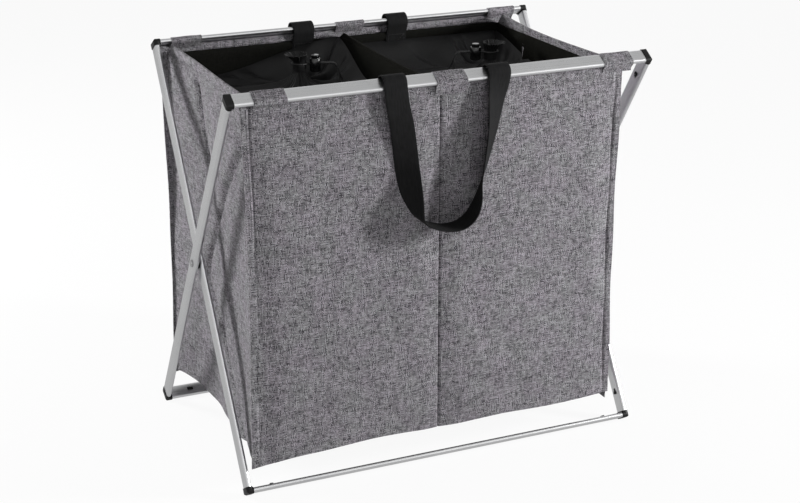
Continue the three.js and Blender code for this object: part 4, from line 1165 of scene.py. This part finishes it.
def placed(run, neck):
    c, s = math.cos(neck["turn"]), math.sin(neck["turn"])
    return np.column_stack([
        neck["x"] + c * run[:, 0] - s * run[:, 1],
        neck["y"] + s * run[:, 0] + c * run[:, 1],
        neck["z"] + run[:, 2],
    ])


def round_sweep(name, run, radius, sides, material):
    return sweep(name, run, round_section(radius, sides), (0, 0, 1), material)


for word, neck in NECKS.items():
    held = round_sweep(f"{word}_drawcord_held", eased(placed(held_run(), neck)), CORD_R, 12, CORD)
    dress(held, f"{word}_neck", "cord", f"{word}_drawcord")
    run = resample(placed(free_run(neck["side"], neck["z"] - REST_Z), neck), CORD_STEPS)
    free = round_sweep(f"{word}_drawcord_free", run, CORD_R, 12, CORD)
    dress(free, f"{word}_neck", "cord", f"{word}_cord_loop",
          squash=fold((run[0][1] + run[-1][1]) / 2, 0.2))

# ---- Lock springs, and the squash settings for their buttons' press ----

WIRE_R, COILS, COIL_STEPS = 0.45 * MM, 6, 300
BUTTON_TRAVEL = 3.6 * MM

for word, _ in SIDES:
    low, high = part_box(f"{word}_lock_spring")
    tall, radius = high.z - low.z, (high.x - low.x) / 2 - WIRE_R
    angle = np.linspace(0, 2 * math.pi * COILS, COIL_STEPS)
    # The first and the last coil lie nearly flat.
    flat, whole = 2.1 * WIRE_R, tall - 2 * WIRE_R
    rise = np.interp(angle / (2 * math.pi), [0, 1, COILS - 1, COILS], [0, flat, whole - flat, whole])
    coil = np.column_stack([
        (low.x + high.x) / 2 + radius * np.cos(angle), (low.y + high.y) / 2 + radius * np.sin(angle),
        low.z + WIRE_R + rise,
    ])
    spring = round_sweep(f"{word}_spring_coil", coil, WIRE_R, 8, STEEL)
    dress(spring, f"{word}_lock", "steel", f"{word}_lock_spring", squash=dict(
        joint=f"{word}_button_press", axis=(0, 0, 1), anchor=(0, 0, low.z),
        keep=max(0.2, 1 - BUTTON_TRAVEL / tall),
    ))

# ---- Stage and light ----

FLOOR_SEEN, FLOOR_IN_GLOSS, FLOOR_GLOSSY_LOSS = 0.93, 0.97, 0.5
AMBIENT = 0.23
GLOSSY_ZENITH_LOSS, GLOSSY_SIDE_LOSS = 0.54, 0.45  # so that metal shows a darker top and sides


def stage_material():
    """White to the camera and grey in reflections; to all other rays a plain floor that takes shadows."""
    n = Nodes(bpy.data.materials.new("floor_white"), "Material")
    white = n.most(n.times(n.ray("Camera"), FLOOR_SEEN), n.times(n.ray("Glossy"), FLOOR_IN_GLOSS))
    plain = n.make("BsdfDiffuse", {"Color": (0.8, 0.8, 0.8)})
    glow = n.make("Emission", {"Strength": n.math("MULTIPLY_ADD", n.ray("Glossy"), -FLOOR_GLOSSY_LOSS, 1.0)})
    return n.finish(n.make("MixShader", (white, plain, glow)))


def studio_world():
    """A soft even light, and a white background for the camera, for gloss and for glass."""
    n = Nodes(bpy.data.worlds.new("studio"), "World")
    x, _, z = n.parts(n.make("TexCoord", out="Generated"))
    above = n.ramp(z, 0.05, 0.8, 0.0, GLOSSY_ZENITH_LOSS)
    aside = n.ramp(n.math("ABSOLUTE", x), 0.5, 0.95, 0.0, GLOSSY_SIDE_LOSS)
    level = n.less(1.0, n.times(n.ray("Glossy"), n.most(above, aside)))
    seen = n.most(n.most(n.ray("Camera"), n.ray("Glossy")), n.ray("Transmission"))
    soft = n.make("Background", {"Color": (1, 1, 1), "Strength": AMBIENT})
    bright = n.make("Background", {"Color": (1, 1, 1), "Strength": level})
    return n.finish(n.make("MixShader", (seen, soft, bright)))


def area_light(name, place, size, power, target=(0, 0, 0.3), seen=True):
    """A soft lamp turned to its target, shown or not shown in reflections."""
    data = bpy.data.lights.new(name, "AREA")
    data.shape = "RECTANGLE"
    data.size, data.size_y = size
    data.energy = power
    lamp = bpy.data.objects.new(name, data)
    lamp.location = place
    lamp.rotation_euler = (Vector(target) - Vector(place)).to_track_quat("-Z", "Y").to_euler()
    lamp.visible_glossy = seen
    scene.collection.objects.link(lamp)


FLOOR_REACH, FLOOR_DROP = 9, 0.5 * MM
corners = [(FLOOR_REACH * x, FLOOR_REACH * y, 0) for x, y in ((-1, -1), (1, -1), (1, 1), (-1, 1))]
floor = mesh_object("floor", corners, [(0, 1, 2, 3)], None, stage_material(), False)
floor.location.z = -FLOOR_DROP
scene.world = studio_world()

area_light("key_right", (1.95, -1.08, 0.92), (0.24, 0.5), 53, (0.05, -0.19, 0.42))
area_light("side_left", (-1.6, 1.6, 1.0), (0.5, 0.6), 54, seen=False)
area_light("front", (-0.3, -2.2, 2.1), (1.4, 1.2), 6)

# The same white for every view: colours come out as they are written.
scene.view_settings.view_transform = "Standard"

bpy.context.view_layer.update()
